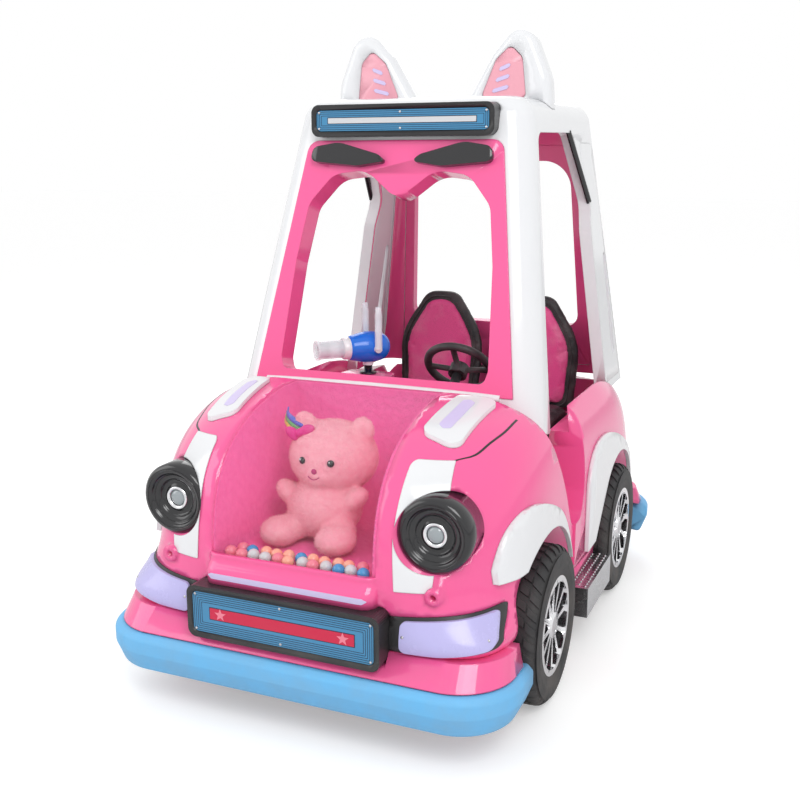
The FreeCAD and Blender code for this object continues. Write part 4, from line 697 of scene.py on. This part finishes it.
def sign_panel(node, stripes, band_share, band_tall, band_material):
    """A field with pinstripes, an edged band and six screws; returns its placing rule and half width."""
    low, high = corners(node)
    middle = (low + high) / 2
    wide = (high.x - low.x) / 2 - SIGN_MARGIN
    tall = (high.z - low.z) / 2 - SIGN_MARGIN

    def place(u, v, lift):
        return Vector((middle.x + u, low.y + SIGN_SINK - 1.2 * MM - lift, middle.z + v))

    keep(node + "_field", slab([rounded_outline(wide, tall, SIGN_CORNER)], place, 0.0, FIELD_THICK), PANEL_BLUE)
    lines = bmesh.new()
    for index in range(stripes):
        inset = SIGN_STEP * (index + 0.6)
        corner = max(2 * MM, SIGN_CORNER - inset)
        outer = rounded_outline(wide - inset, tall - inset, corner)
        inner = rounded_outline(wide - inset - LINE_WIDE, tall - inset - LINE_WIDE, corner * 0.9)
        stripe(lines, outer, inner, place, FIELD_THICK, FIELD_THICK + LINE_THICK)
    bmesh.ops.recalc_face_normals(lines, faces=lines.faces)
    keep(node + "_pinstripes", lines, NAVY)
    band = rounded_outline(wide * band_share, band_tall, 1 * MM)
    edge = rounded_outline(wide * band_share + 2 * MM, band_tall + 2 * MM, 1.5 * MM)
    keep(node + "_band_edge", slab([edge], place, 1 * MM, 1.3 * MM), NAVY)
    keep(node + "_band", slab([band], place, 1.2 * MM, 1.6 * MM), band_material)
    screws = bmesh.new()
    for u in (-wide + 7 * MM, 0, wide - 7 * MM):
        for v in (-tall + 6 * MM, tall - 6 * MM):
            ball(screws, 3.4 * MM, 12, 6, (1, SCREW_FLAT, 1), place(u, v, 1.4 * MM))
    keep(node + "_screws", screws, STEEL, smooth=60)
    return place, wide


place, wide = sign_panel("front_plate", 5, 0.8, 14 * MM, RED)
stars = [star_outline(16 * MM, (side * wide * 0.68, 0)) for side in (-1, 1)]
keep("front_plate_stars", slab(stars, place, 1.7 * MM, 2.1 * MM), STAR)
sign_panel("roof_sign", 3, 0.86, 7 * MM, PALE)

# %% [markdown]
# ## Trim that follows a skin
# Lavender insets, the seam of the bonnet and the strip on the lip lie on curved mouldings.  A ray sent on
# to the skin finds each point of a strip, and the strip stands proud there along the skin's own normal.
# Paths are smooth curves through a few points, and a path can also carry a round bar.


# %% Smooth paths, bars and laid strips
def curved(points, steps=8):
    """A smooth path through the points, by Catmull and Rom's rule."""
    points = [Vector(point) for point in points]
    path = []
    for index in range(len(points) - 1):
        b, c = points[index], points[index + 1]
        a = points[index - 1] if index else 2 * b - c
        d = points[index + 2] if index + 2 < len(points) else 2 * c - b
        for step in range(steps):
            t = step / steps
            path.append(0.5 * (2 * b + (c - a) * t + (2 * a - 5 * b + 4 * c - d) * t ** 2
                               + (3 * b - a - 3 * c + d) * t ** 3))
    return path + [points[-1]]


def bar_along(path, radius, sides=10, closed=False, flat=1.0, taper=None):
    """A round or flattened bar along a path; taper(share) scales it from start to end."""
    bm = bmesh.new()
    count = len(path)
    rings = []
    across = None
    for index, point in enumerate(path):
        before = path[index - 1] if index or closed else point
        after = path[(index + 1) % count] if index + 1 < count or closed else point
        along = (after - before).normalized()
        across = along.orthogonal() if across is None else across - along * across.dot(along)
        across.normalize()
        up = along.cross(across)
        grow = taper(index / (count - 1)) if taper else 1.0
        ring = []
        for side in range(sides):
            turn = 2 * math.pi * side / sides
            out = across * math.cos(turn) + up * flat * math.sin(turn)
            ring.append(bm.verts.new(point + out * radius * grow))
        rings.append(ring)
    for index in range(count if closed else count - 1):
        bridge(bm, rings[index], rings[(index + 1) % count], closed=True)
    if not closed:
        bm.faces.new(list(reversed(rings[0])))
        bm.faces.new(rings[-1])
    bmesh.ops.recalc_face_normals(bm, faces=bm.faces)
    return bm


def skin_of(node):
    """A node's faces as a tree that answers rays."""
    bm = bmesh.new()
    bm.from_mesh(nodes[node].data)
    tree = BVHTree.FromBMesh(bm)
    bm.free()
    return tree


STRIP_SINK = 0.6 * MM


def laid(name, tree, path, side, half, way, material, lift=1.0 * MM, columns=6, blunt=0.0):
    """A strip along a path, laid on a skin; blunt is the length over which its ends round off."""
    way = Vector(way).normalized()
    side = Vector(side).normalized()
    length = [0.0]
    for near, far in zip(path, path[1:]):
        length.append(length[-1] + (far - near).length)
    bm = bmesh.new()
    upper, lower = [], []
    for point, travelled in zip(path, length):
        left = min(travelled, length[-1] - travelled)
        wide = half
        if left < blunt:
            wide = max(0.12, math.sqrt(1 - (1 - left / blunt) ** 2)) * half
        upper.append([])
        lower.append([])
        for column in range(columns + 1):
            start = point + side * wide * (2 * column / columns - 1)
            spot, normal, _, _ = tree.ray_cast(start - way * 0.5, way)
            if spot is None:
                spot, normal, _, _ = tree.find_nearest(start)
            if normal.dot(way) > 0:
                normal = -normal
            upper[-1].append(bm.verts.new(spot + normal * lift))
            lower[-1].append(bm.verts.new(spot - normal * STRIP_SINK))
    closed_grids(bm, upper, lower)
    return keep(name, bm, material, smooth=50)


def at_mm(*points):
    return [Vector(point) * MM for point in points]


# %% Pods, ears, lip and seam
DOWN, BACK = (0, 0, -1), (0, 1, 0)
SIDES = ((1, "left"), (-1, "right"))
pod_skin, ear_skin, nose_skin = skin_of("vent_pods"), skin_of("ear_panels"), skin_of("front_shell")
for side, name in SIDES:
    inset = curved(at_mm((side * 292, -540, 700), (side * 300, -470, 700), (side * 304, -385, 700)), 10)
    laid("pod_inset_" + name, pod_skin, inset, (1, 0, 0), 15 * MM, DOWN, LAVENDER, blunt=14 * MM)
    for index in range(3):
        x, z = side * (182 + 5 * index), 1512 + 29 * index
        line = curved(at_mm((x - side * (24 - 5 * index), 0, z), (x + side * (24 - 3 * index), 0, z + 12)), 10)
        laid(f"ear_strip_{name}_{index}", ear_skin, line, (0, 0, 1), 5.5 * MM, BACK, LAVENDER, lift=2 * MM,
             blunt=6 * MM)
    seam = curved(at_mm((side * 342, -596, 800), (side * 376, -554, 800), (side * 393, -499, 800),
                        (side * 408, -434, 800), (side * 414, -359, 800)), 8)
    laid("bonnet_seam_" + name, nose_skin, seam, (1, 0.2, 0), 2.4 * MM, DOWN, BAND, lift=0.4 * MM, columns=2)
lip = curved(at_mm((-206, -900, 376), (0, -900, 376), (206, -900, 376)), 20)
laid("lip_strip", nose_skin, lip, (0, 0, 1), 7 * MM, BACK, LAVENDER, lift=1.2 * MM, blunt=10 * MM)

# %% Lamp lenses, rings and screws
LAMP_RADIUS, TAIL_RADIUS = 88 * MM, 48 * MM
LAMP_DEEP = 17
LENS_RING = ((0.0, 0.030), (-0.0035, 0.0285), (-0.0045, 0.026), (-0.0035, 0.0225), (0.0, 0.0205),
             (0.003, 0.0255))
LENS_DOME = ((0.003, 0.0205), (-0.001, 0.017), (-0.004, 0.011), (-0.0052, 0.0))
GROOVE = ((0, 1.2), (-1, 0), (0, -1.2), (1, 0))
RING_STEPS = 48
HEAD_TURN = Vector((0, 0, 1)).rotation_difference(-Vector(BACK)).to_matrix()
lamp_low, lamp_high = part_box("headlamps")
tail_low, tail_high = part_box("tail_lamps")
light_skin, tail_skin = skin_of("light_bars"), skin_of("tail_lamps")
for side, name in SIDES:
    hub = (side * (lamp_high[0] - LAMP_RADIUS), lamp_low[1] + LAMP_DEEP * MM, (lamp_low[2] + lamp_high[2]) / 2)
    keep("lens_ring_" + name, lathe(LENS_RING, 48, hub, "Y"), CHROME, smooth=50)
    keep("lens_dome_" + name, lathe(LENS_DOME, 40, hub, "Y", closed=False), GLASS, smooth=60)
    for far, deep in ((60, 9.5), (74, -0.4)):
        groove = [((deep - LAMP_DEEP + back) * MM, (far + out) * MM) for back, out in GROOVE]
        keep(f"lamp_bead_{far}_{name}", lathe(groove, 72, hub, "Y"), BLACK, smooth=60)
    x, z = side * (tail_high[0] - TAIL_RADIUS), (tail_low[2] + tail_high[2]) / 2
    for far in (16, 28, 40):
        loop = []
        for step in range(RING_STEPS):
            turn = 2 * math.pi * step / RING_STEPS
            start = Vector((x + far * MM * math.cos(turn), 1.2, z + far * MM * math.sin(turn)))
            loop.append(tail_skin.ray_cast(start, Vector((0, -1, 0)))[0])
        keep(f"tail_ring_{far}_{name}", bar_along(loop, 1.8 * MM, 8, closed=True), TAIL_RED, smooth=60)
    screws = bmesh.new()
    for x in (286, 468):
        spot = light_skin.ray_cast(Vector((side * x * MM, -1.2, 0.3)), Vector(BACK))[0]
        ball(screws, 4 * MM, 12, 6, (1, 1, SCREW_FLAT), spot, HEAD_TURN)
    keep("light_bar_screws_" + name, screws, STEEL, smooth=60)

# %% [markdown]
# ## Soft parts
# A stuffed part begins as a plain closed form.  A voxel remesh joins its lumps into one even skin, and a
# short cloth simulation blows that skin up from inside, so seams pull in and faces crown.  No point may
# move further than a cap, and a last subdivision rounds the facets.  The result is a plain mesh.

# %% One recipe for every stuffed part
SOFT_FRAMES = 20
PUFF = 4


def stuffed(name, bm, material, replaced=(), voxel=0.006, soften=6, cap=0.008, shape=None):
    """Remesh, cloth, cap, shape(point), subdivide: one padded piece, which rides on the car."""
    raw = in_place(name + "_raw", mesh_of(name + "_raw", bm))
    remesh = raw.modifiers.new("even", "REMESH")
    remesh.mode = "VOXEL"
    remesh.voxel_size = voxel
    smooth = raw.modifiers.new("soften", "SMOOTH")
    smooth.iterations = soften
    smooth.factor = 0.5
    mesh = evaluated_mesh(raw, name)
    bpy.data.objects.remove(raw)
    piece = in_place(name, mesh)
    start = [vertex.co.copy() for vertex in mesh.vertices]
    cloth = piece.modifiers.new("fill", "CLOTH")
    cloth.settings.use_pressure = True
    cloth.settings.uniform_pressure_force = PUFF
    cloth.settings.quality = 5
    cloth.settings.effector_weights.gravity = 0
    cloth.point_cache.frame_start = 1
    cloth.point_cache.frame_end = SOFT_FRAMES
    for number in range(1, SOFT_FRAMES + 1):
        bpy.context.scene.frame_set(number)
    blown = evaluated_mesh(piece, name + "_blown")
    for vertex, before, after in zip(mesh.vertices, start, blown.vertices):
        move = after.co - before
        vertex.co = before + move * min(1.0, cap / max(move.length, 1e-9))
    piece.modifiers.clear()
    bpy.data.meshes.remove(blown)
    bpy.context.scene.frame_set(1)
    if shape:
        for vertex in mesh.vertices:
            vertex.co = shape(vertex.co)
    finer = piece.modifiers.new("finer", "SUBSURF")
    finer.levels = finer.render_levels = 1
    final = evaluated_mesh(piece, name)
    piece.modifiers.clear()
    piece.data = final
    bpy.data.meshes.remove(mesh)
    final.materials.clear()
    final.materials.append(material)
    final.shade_smooth()
    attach(piece, "car")
    if replaced:
        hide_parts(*replaced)
    return piece


def lump(bm, centre, reach, slant=0):
    """An egg-shaped lump, its place and half sizes in millimetres, slanted about the line of sight."""
    turn = Matrix.Rotation(math.radians(slant), 3, "Y") if slant else None
    ball(bm, MM, 32, 20, reach, Vector(centre) * MM, turn)


# %% The toy: a plain seated cub with round ears
FEET = ((-106, -612), (48, -620))
cub = bmesh.new()
lump(cub, (-14, -500, 612), (114, 97, 92))
lump(cub, (-14, -572, 586), (40, 34, 30))
lump(cub, (-28, -524, 489), (95, 88, 82))
for x, z, slant in ((-118, 520, 38), (66, 522, -38)):
    lump(cub, (x, -546, z), (40, 29, 24), slant)
for x, y in FEET:
    lump(cub, (x, y, 441), (50, 54, 35))
    lump(cub, (x * 0.8, y + 40, 445), (40, 50, 34))
for x, slant in ((-88, -24), (64, 24)):
    lump(cub, (x, -500, 682), (33, 20, 40), slant)
toy = stuffed("cub_skin", cub, PLUSH, replaced=["soft_toy"], voxel=0.006, soften=8, cap=0.007)


# %% Its pile: a tree that stands small tufts on a skin
PILE_DENSEST = 160000.0


def pile_tree():
    tree, given = growing_tree("tufts_on_a_skin", (
        ("Apart", "Float", 0.004), ("Tall", "Float", 0.006), ("Wide", "Float", 0.0008), ("Lean", "Float", 0.5),
        ("Seed", "Int", 3)))
    spots = add(tree, "GeometryNodeDistributePointsOnFaces", {"distribute_method": "POISSON"},
                Mesh=given["Geometry"], Distance_Min=given["Apart"], Density_Max=PILE_DENSEST,
                Seed=given["Seed"])
    ends = [add(tree, "ShaderNodeVectorMath", {"operation": "SCALE"}, i0=(end, end, end),
                Scale=given["Lean"]).outputs[0] for end in (-1, 1)]
    lean = add(tree, "FunctionNodeRandomValue", {"data_type": "FLOAT_VECTOR"}, i0=ends[0], i1=ends[1])
    tilt = add(tree, "FunctionNodeEulerToRotation", Euler=lean.outputs[0])
    stand = add(tree, "FunctionNodeRotateRotation", {"rotation_space": "LOCAL"},
                Rotation=spots.outputs["Rotation"], Rotate_By=tilt.outputs[0])
    tuft = add(tree, "GeometryNodeMeshCone", Vertices=3, Radius_Top=0.0, Radius_Bottom=given["Wide"],
               Depth=given["Tall"])
    copies = add(tree, "GeometryNodeInstanceOnPoints", Points=spots.outputs[0], Instance=tuft.outputs[0],
                 Rotation=stand.outputs[0])
    return made_real(tree, copies, given["Finish"])


coat = bmesh.new()
coat.from_mesh(toy.data)
pile = grown("cub_pile", coat, pile_tree(), "car", PLUSH, Apart=0.0036, Tall=0.005, Wide=0.0009, Lean=0.6,
             Seed=4)
print("triangles of pile:", sum(len(face.vertices) - 2 for face in pile.data.polygons))


# %% Its face, bow and ribbon; a small white bead on each eye is a painted highlight
def bead(name, centre, radius, material, flat=1.0, turn=0.0):
    """A round bead, flattened along the line of sight when flat is under one."""
    bm = bmesh.new()
    ball(bm, radius * MM, 24, 14, (1, flat, 1), Vector(centre) * MM, Matrix.Rotation(turn, 3, "Z"))
    return keep(name, bm, material, smooth=60)


toy_skin = BVHTree.FromObject(toy, bpy.context.evaluated_depsgraph_get())


def on_toy(x, z):
    spot, normal, _, _ = toy_skin.ray_cast(Vector((x, -900, z)) * MM, Vector(BACK))
    return spot / MM, normal


for side, name in SIDES:
    spot, normal = on_toy(-14 + side * 38, 621)
    bead("eye_" + name, spot + normal * 1.5, 9, BLACK, 0.6, math.atan2(normal.x, -normal.y))
    # A painted highlight: a small white bead on each eye stands for a glint of light on it.
    bead("eye_glint_" + name, spot + normal * 5 + Vector((-2.5, 0, 3)), 2.6, PALE)
spot, normal = on_toy(-14, 600)
bead("nose", spot + normal * 2, 7, PLUSH_DARK, 0.6)
smile = [on_toy(-14 + across, 588 - 6 * math.cos(across / 14 * math.pi / 2)) for across in range(-14, 15, 4)]
smile = [(spot + normal * 3.5) * MM for spot, normal in smile]
keep("smile", bar_along(smile, 1.1 * MM, 6), PLUSH_DARK, smooth=50)

bow = bmesh.new()
for x, z, slant in ((-100, 672, 35), (-62, 684, -25)):
    lump(bow, (x, -548, z), (24, 11, 15), slant)
lump(bow, (-80, -552, 678), (10, 11, 11))
stuffed("cub_bow", bow, SATIN, voxel=0.003, soften=2, cap=0.003)
tail = curved(at_mm((-92, -520, 676), (-128, -500, 684), (-160, -470, 690), (-176, -440, 700)), 10)
for index, satin in enumerate((SATIN_BLUE, SATIN_GREEN, SATIN_YELLOW)):
    shift = Vector((0.004, -0.001, 0.010)) * (1 - index)
    ribbon = bar_along([point + shift for point in tail], 6.5 * MM, 10,
                       taper=lambda share: 0.45 + 0.75 * math.sin(math.pi * min(1, share + 0.18)))
    stuffed(f"ribbon_{index}", ribbon, satin, voxel=0.0025, soften=1, cap=0.0015)

# %% Small balls on the showcase floor: jittered rows, one piece a colour
BALL_REACH, BALL_STEP, ROW_STEP, FOOT_ROOM = 15, 32, 28, 56
BALL_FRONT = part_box("showcase_cover")[0][1] / MM + 30
CASE_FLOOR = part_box("soft_toy")[0][2] / MM
BALL_COLOURS = {"white": PALE, "pink": STAR, "peach": PEACH, "blue": BALL_BLUE}
BALL_TURNS = ("pink", "peach", "white", "pink", "white", "peach", "blue")
heaps = {colour: bmesh.new() for colour in BALL_COLOURS}
for row in range(2):
    for column in range(12 - row):
        number = row * 12 + column
        x = -178 + BALL_STEP * column + BALL_STEP / 2 * row + 2 * math.sin(number * 2.3)
        y = BALL_FRONT + ROW_STEP * row + 3 * math.cos(number * 3.1)
        if min(math.hypot(x - foot_x, y - foot_y) for foot_x, foot_y in FEET) < FOOT_ROOM:
            continue
        colour = BALL_TURNS[int(abs(math.sin(number * 12.9)) * 97) % len(BALL_TURNS)]
        ball(heaps[colour], BALL_REACH * MM, 16, 10, (1, 1, 1), Vector((x, y, CASE_FLOOR + BALL_REACH)) * MM)
for colour, heap in heaps.items():
    keep("case_balls_" + colour, heap, BALL_COLOURS[colour], smooth=60)

# %% [markdown]
# ## Seats
# Each seat is a black base pad with two sewn channels and a shield-shaped back: a black pad whose edge
# stands round a pink one.  Both run through the recipe above, and piping covers their seams.

# %% Pads from rounded outlines
SEAT_HALF, PAD_MARGIN = 0.158, 0.006
SEATS = ((1, "driver"), (-1, "rider"))
pads_low, pads_high = corners("seat_cushions")
for side, name in SEATS:
    middle = Vector((side * (pads_high.x - SEAT_HALF), (pads_low.y + pads_high.y) / 2, pads_low.z))
    deep = (pads_high.y - pads_low.y) / 2
    outline = [(middle.x + u, middle.y + v)
               for u, v in rounded_outline(SEAT_HALF - PAD_MARGIN, deep - PAD_MARGIN, 0.035)]
    base = slab([outline], lambda u, v, z: Vector((u, v, z)), pads_low.z + 0.006, pads_high.z - 0.010)

    def channelled(point, middle=middle):
        """Two seams across the pad pull its top down."""
        drop = sum(math.exp(-((point.y - middle.y - where) / 0.009) ** 2) for where in (-0.07, 0.06))
        inside = 1 if abs(point.x - middle.x) < 0.125 and point.z > middle.z + 0.02 else 0
        return point - Vector((0, 0, 0.006 * drop * inside))

    stuffed("seat_pad_" + name, base, VINYL_BLACK, replaced=["seat_cushions"], cap=0.012,
            shape=channelled)
    seam = [Vector((u, v, pads_low.z + 0.022)) for u, v in outline]
    keep("seat_piping_" + name, bar_along(seam, 3.2 * MM, 8, closed=True), VINYL_PINK, smooth=50)

# %% Shield-shaped backs
BACK_LEAN = math.radians(6)
BACK_FOOT = Vector((0, 0.640, 0.4923))
BACK_THICK = 0.040
BACK_HALF = 0.163


def back_place(u, v, deep):
    """A point of a seat back: across, height above ground before it leans, and depth from its front."""
    along, up = deep - BACK_THICK, v - BACK_FOOT.z
    return Vector((u, BACK_FOOT.y + along * math.cos(BACK_LEAN) + up * math.sin(BACK_LEAN),
                   BACK_FOOT.z + up * math.cos(BACK_LEAN) - along * math.sin(BACK_LEAN)))


def cornered(points, radius, steps=5):
    """A closed outline whose corners are rounded off over a length."""
    path = []
    for index, spot in enumerate(points):
        ends = []
        for other in (points[index - 1], points[(index + 1) % len(points)]):
            way = other - spot
            ends.append(spot + way.normalized() * min(radius, way.length * 0.45))
        for step in range(steps + 1):
            t = step / steps
            path.append(ends[0] * (1 - t) ** 2 + spot * 2 * t * (1 - t) + ends[1] * t ** 2)
    return path


def shield(middle, inner, low):
    """The outline of a seat back, straight from corner to corner, drawn in by a margin."""
    half = [(0.151 - inner, low), (BACK_HALF - inner, 0.700), (0.141 - inner, 0.770 - inner * 0.3),
            (0.057 - inner * 0.4, 0.892 - inner)]
    both = [Vector(point) for point in half + [(-u, v) for u, v in reversed(half)]]
    return [(middle + point.x, point.y) for point in cornered(both, 0.034)]


back_high = corners("seat_backs")[1]
for side, name in SEATS:
    middle = side * (back_high.x - BACK_HALF)
    rim = slab([shield(middle, 0.006, 0.506)], back_place, 0.008, 0.033)
    stuffed("seat_back_" + name, rim, VINYL_BLACK, replaced=["seat_backs"], cap=0.006)
    face = slab([shield(middle, 0.034, 0.520)], back_place, -0.004, 0.016)
    stuffed("seat_face_" + name, face, VINYL_PINK, cap=0.008)
    seam = [back_place(u, v, 0.002) for u, v in shield(middle, 0.031, 0.517)]
    keep("back_piping_" + name, bar_along(seam, 3 * MM, 8, closed=True), VINYL_BLACK, smooth=50)

# %% [markdown]
# ## The cab's small fittings
# The hand wheel keeps its own form and gets a horn button.  The toy cannon is a blue shell with a clear
# barrel and two clear uprights.  Ribs on the mat, rubbers on the pedals and studs on the steps come from
# short loops.

# %% Hand wheel and cannon
joints = {joint["name"]: joint for joint in behaviour["joints"]}
HORN_BUTTON = ((0.003, 0.022), (0.007, 0.0215), (0.009, 0.018), (0.0105, 0.010), (0.011, 0.0))


def turned(bm, centre, axis):
    """Stands a form made along Z on a point, with its Z along an axis."""
    turn = Vector((0, 0, 1)).rotation_difference(Vector(axis)).to_matrix()
    bmesh.ops.rotate(bm, verts=bm.verts, matrix=turn)
    bmesh.ops.translate(bm, verts=bm.verts, vec=centre)
    return bm


dressed("steering_wheel", VINYL_BLACK, smooth=50)
column = joints["hand_wheel_turn"]
button = turned(lathe(HORN_BUTTON, 40, axis="Z", closed=False), column["pos_m"], column["axis"])
keep("horn_button", button, PINK, "hand_wheel", smooth=50)

GUN_LEVEL, GUN_TURN = 0.812, 226
gun_axis = joints["cannon_swivel"]["pos_m"]
GUN_PLACE = (Matrix.Translation((gun_axis[0], gun_axis[1], GUN_LEVEL))
             @ Matrix.Rotation(math.radians(GUN_TURN), 4, "Z"))


def gun_piece(name, bm, material, smooth=40, replaced=()):
    """A piece of the cannon, drawn with the barrel along +X and then set in its place."""
    bmesh.ops.transform(bm, verts=bm.verts, matrix=GUN_PLACE)
    return keep(name, bm, material, "bubble_cannon", replaced, smooth)


shell = curved([(-0.062, 0.0, 0), (-0.060, 0.020, 0), (-0.040, 0.038, 0), (0.0, 0.044, 0), (0.038, 0.038, 0),
                (0.060, 0.029, 0), (0.062, 0.0, 0)], 6)
gun_piece("cannon_shell", lathe([(point.x, max(0, point.y)) for point in shell], 48, closed=False),
          GUN_BLUE, 60, ["bubble_gun"])
collar = ((0.056, 0.022), (0.056, 0.030), (0.060, 0.032), (0.074, 0.031), (0.078, 0.028), (0.078, 0.022))
gun_piece("cannon_collar", lathe(collar, 48), WHITE)
barrel = ((0.070, 0.0225), (0.070, 0.026), (0.146, 0.026), (0.147, 0.0285), (0.154, 0.0285), (0.154, 0.0225))
gun_piece("cannon_barrel", lathe(barrel, 48), TUBE)
jets = bmesh.new()
for reach, count in ((0.0, 1), (0.009, 6), (0.017, 12)):
    for step in range(count):
        turn = 2 * math.pi * step / count
        ball(jets, 0.0035, 12, 8, (4, 1, 1), (0.132, reach * math.cos(turn), reach * math.sin(turn)))
gun_piece("cannon_jets", jets, PALE, 60)
jet_plate = ((0.118, 0.0), (0.118, 0.0222), (0.121, 0.0222), (0.121, 0.0))
gun_piece("cannon_jet_plate", lathe(jet_plate, 40, closed=False), WHITE)
neck = bar_along([Vector((0, 0, -0.051)), Vector((0, 0, -0.030))], 0.015, 24)
gun_piece("cannon_neck", neck, WHITE)
POST = ((0.0, 0.0105), (0.100, 0.0105), (0.104, 0.009), (0.118, 0.009), (0.118, 0.0065), (0.0, 0.0065))
POST_CORE = ((0.086, 0.0), (0.086, 0.0062), (0.100, 0.0062), (0.100, 0.0))
for side, name in ((1, "near"), (-1, "far")):
    arm = bar_along([Vector((-0.012, side * 0.030, 0)), Vector((-0.012, side * 0.054, 0))], 0.0105, 24)
    gun_piece("cannon_arm_" + name, arm, WHITE)
    foot = (-0.012, side * 0.052, 0)
    gun_piece("cannon_post_" + name, lathe(POST, 28, foot, "Z"), TUBE)
    gun_piece("cannon_post_core_" + name, lathe(POST_CORE, 20, foot, "Z", closed=False), PALE)

# %% Ribs, rubbers, studs, gaskets and the ledge
RIB_STEP, RIB_HALF = 0.018, (0.003, 0.0022)
STUD_ROWS, STUDS, STUD_STEP, STUD_ROW_STEP = 4, 14, 0.0188, 0.019
GASKET_EDGE = ((338, 1402), (420, 1300), (502, 1196))
floor_low, floor_high = corners("floor_pan")
ribs = bmesh.new()
for index in range(int((floor_high.y - floor_low.y) / RIB_STEP) - 1):
    rib = bmesh.ops.create_cube(ribs, size=2)["verts"]
    bmesh.ops.scale(ribs, verts=rib, vec=(floor_high.x - 0.012, *RIB_HALF))
    bmesh.ops.translate(ribs, verts=rib, vec=(0, floor_low.y + RIB_STEP * (index + 0.6), floor_high.z))
bmesh.ops.bevel(ribs, geom=ribs.edges[:], offset=min(RIB_HALF) * 0.5, segments=2, affect="EDGES")
keep("mat_ribs", ribs, MAT_BLACK, smooth=50)
step_low, step_high = corners("side_steps")
for side, name in SIDES:
    studs = bmesh.new()
    for row in range(STUD_ROWS):
        for column in range(STUDS):
            stud = bmesh.ops.create_cone(studs, cap_ends=True, segments=12, radius1=0.004, radius2=0.0028,
                                         depth=0.003)["verts"]
            x = side * (step_high.x - 0.012 - STUD_ROW_STEP * row)
            y = step_low.y + 0.016 + (column + 0.5 * (row % 2)) * STUD_STEP
            bmesh.ops.translate(studs, verts=stud, vec=(x, y, step_high.z + 0.001))
    keep("step_studs_" + name, studs, STEEL, smooth=40)
    gasket = curved([(side * (cab_plane(z * MM, CAB_SIDE) - 0.004), y * MM, z * MM) for y, z in GASKET_EDGE], 6)
    keep("quarter_gasket_" + name, bar_along(gasket, 0.009, 12, flat=0.6), BLACK, smooth=50)
pedal_skin = skin_of("pedals")
for x in (120, 210):
    for index in range(4):
        y = -246 + 12 * index
        rubber = curved(at_mm((x - 26, y, 500), (x + 26, y, 500)), 8)
        laid(f"pedal_rubber_{x}_{index}", pedal_skin, rubber, (0, 1, 0), 2.5 * MM, DOWN, MAT_BLACK, lift=2 * MM,
             columns=2)
ledge = curved(at_mm((-338, -262, 738), (-200, -268, 742), (0, -270, 744), (200, -268, 742), (338, -262, 738)))
keep("windscreen_ledge", bar_along(ledge, 0.010, 14, flat=0.6), WHITE, smooth=60)

# %% [markdown]
# ## Studio
# A pale floor and even light from a bright world and three broad lamps show the colours as they are.  The
# floor glows a little for the eye alone, so it reads as white and keeps the shadow.

# %% Floor, lamps and world
WORLD_LIGHT = 0.75
FLOOR_GLOW = 0.35
FLOOR_HALF = 30
PURE_WHITE = (1, 1, 1, 1)
LAMPS = {"key": ((2.6, -3.6, 4.2), 110, 2.5), "fill": ((-3.8, -2.4, 2.6), 45, 3.0),
         "back": ((-1.5, 3.8, 3.6), 60, 3.0)}
LAMPS_AIM = Vector((0, 0, 0.6))


def studio():
    bm = bmesh.new()
    bmesh.ops.create_grid(bm, x_segments=1, y_segments=1, size=FLOOR_HALF)
    floor = in_place("studio_floor", mesh_of("studio_floor", bm))
    paint, tree, surface = new_material("studio_paper")
    straight = tree.nodes.new("ShaderNodeLightPath").outputs["Is Camera Ray"]
    feed(tree, surface, {"Base Color": (0.82, 0.82, 0.82, 1), "Roughness": 0.9, "Emission Color": PURE_WHITE,
                         "Emission Strength": spread(tree, straight, 0.0, 1.0, 0.0, FLOOR_GLOW)})
    floor.data.materials.append(paint)
    world = bpy.data.worlds.new("studio_world")
    bpy.context.scene.world = world
    world.use_nodes = True
    tree = world.node_tree
    seen = tree.nodes.new("ShaderNodeLightPath").outputs
    straight = reckon(tree, "ADD", seen["Is Glossy Ray"], seen["Is Transmission Ray"])
    straight = reckon(tree, "ADD", seen["Is Camera Ray"], straight)
    feed(tree, tree.nodes["Background"], {
        "Color": PURE_WHITE, "Strength": spread(tree, straight, 0.0, 1.0, WORLD_LIGHT, 1.0)})
    for name, (place, power, wide) in LAMPS.items():
        light = bpy.data.lights.new(name, "AREA")
        light.energy = power
        light.size = wide
        aim = (LAMPS_AIM - Vector(place)).to_track_quat("-Z", "Y").to_matrix().to_4x4()
        in_place(name, light).matrix_world = Matrix.Translation(place) @ aim


studio()
bpy.context.scene.view_settings.view_transform = "Standard"
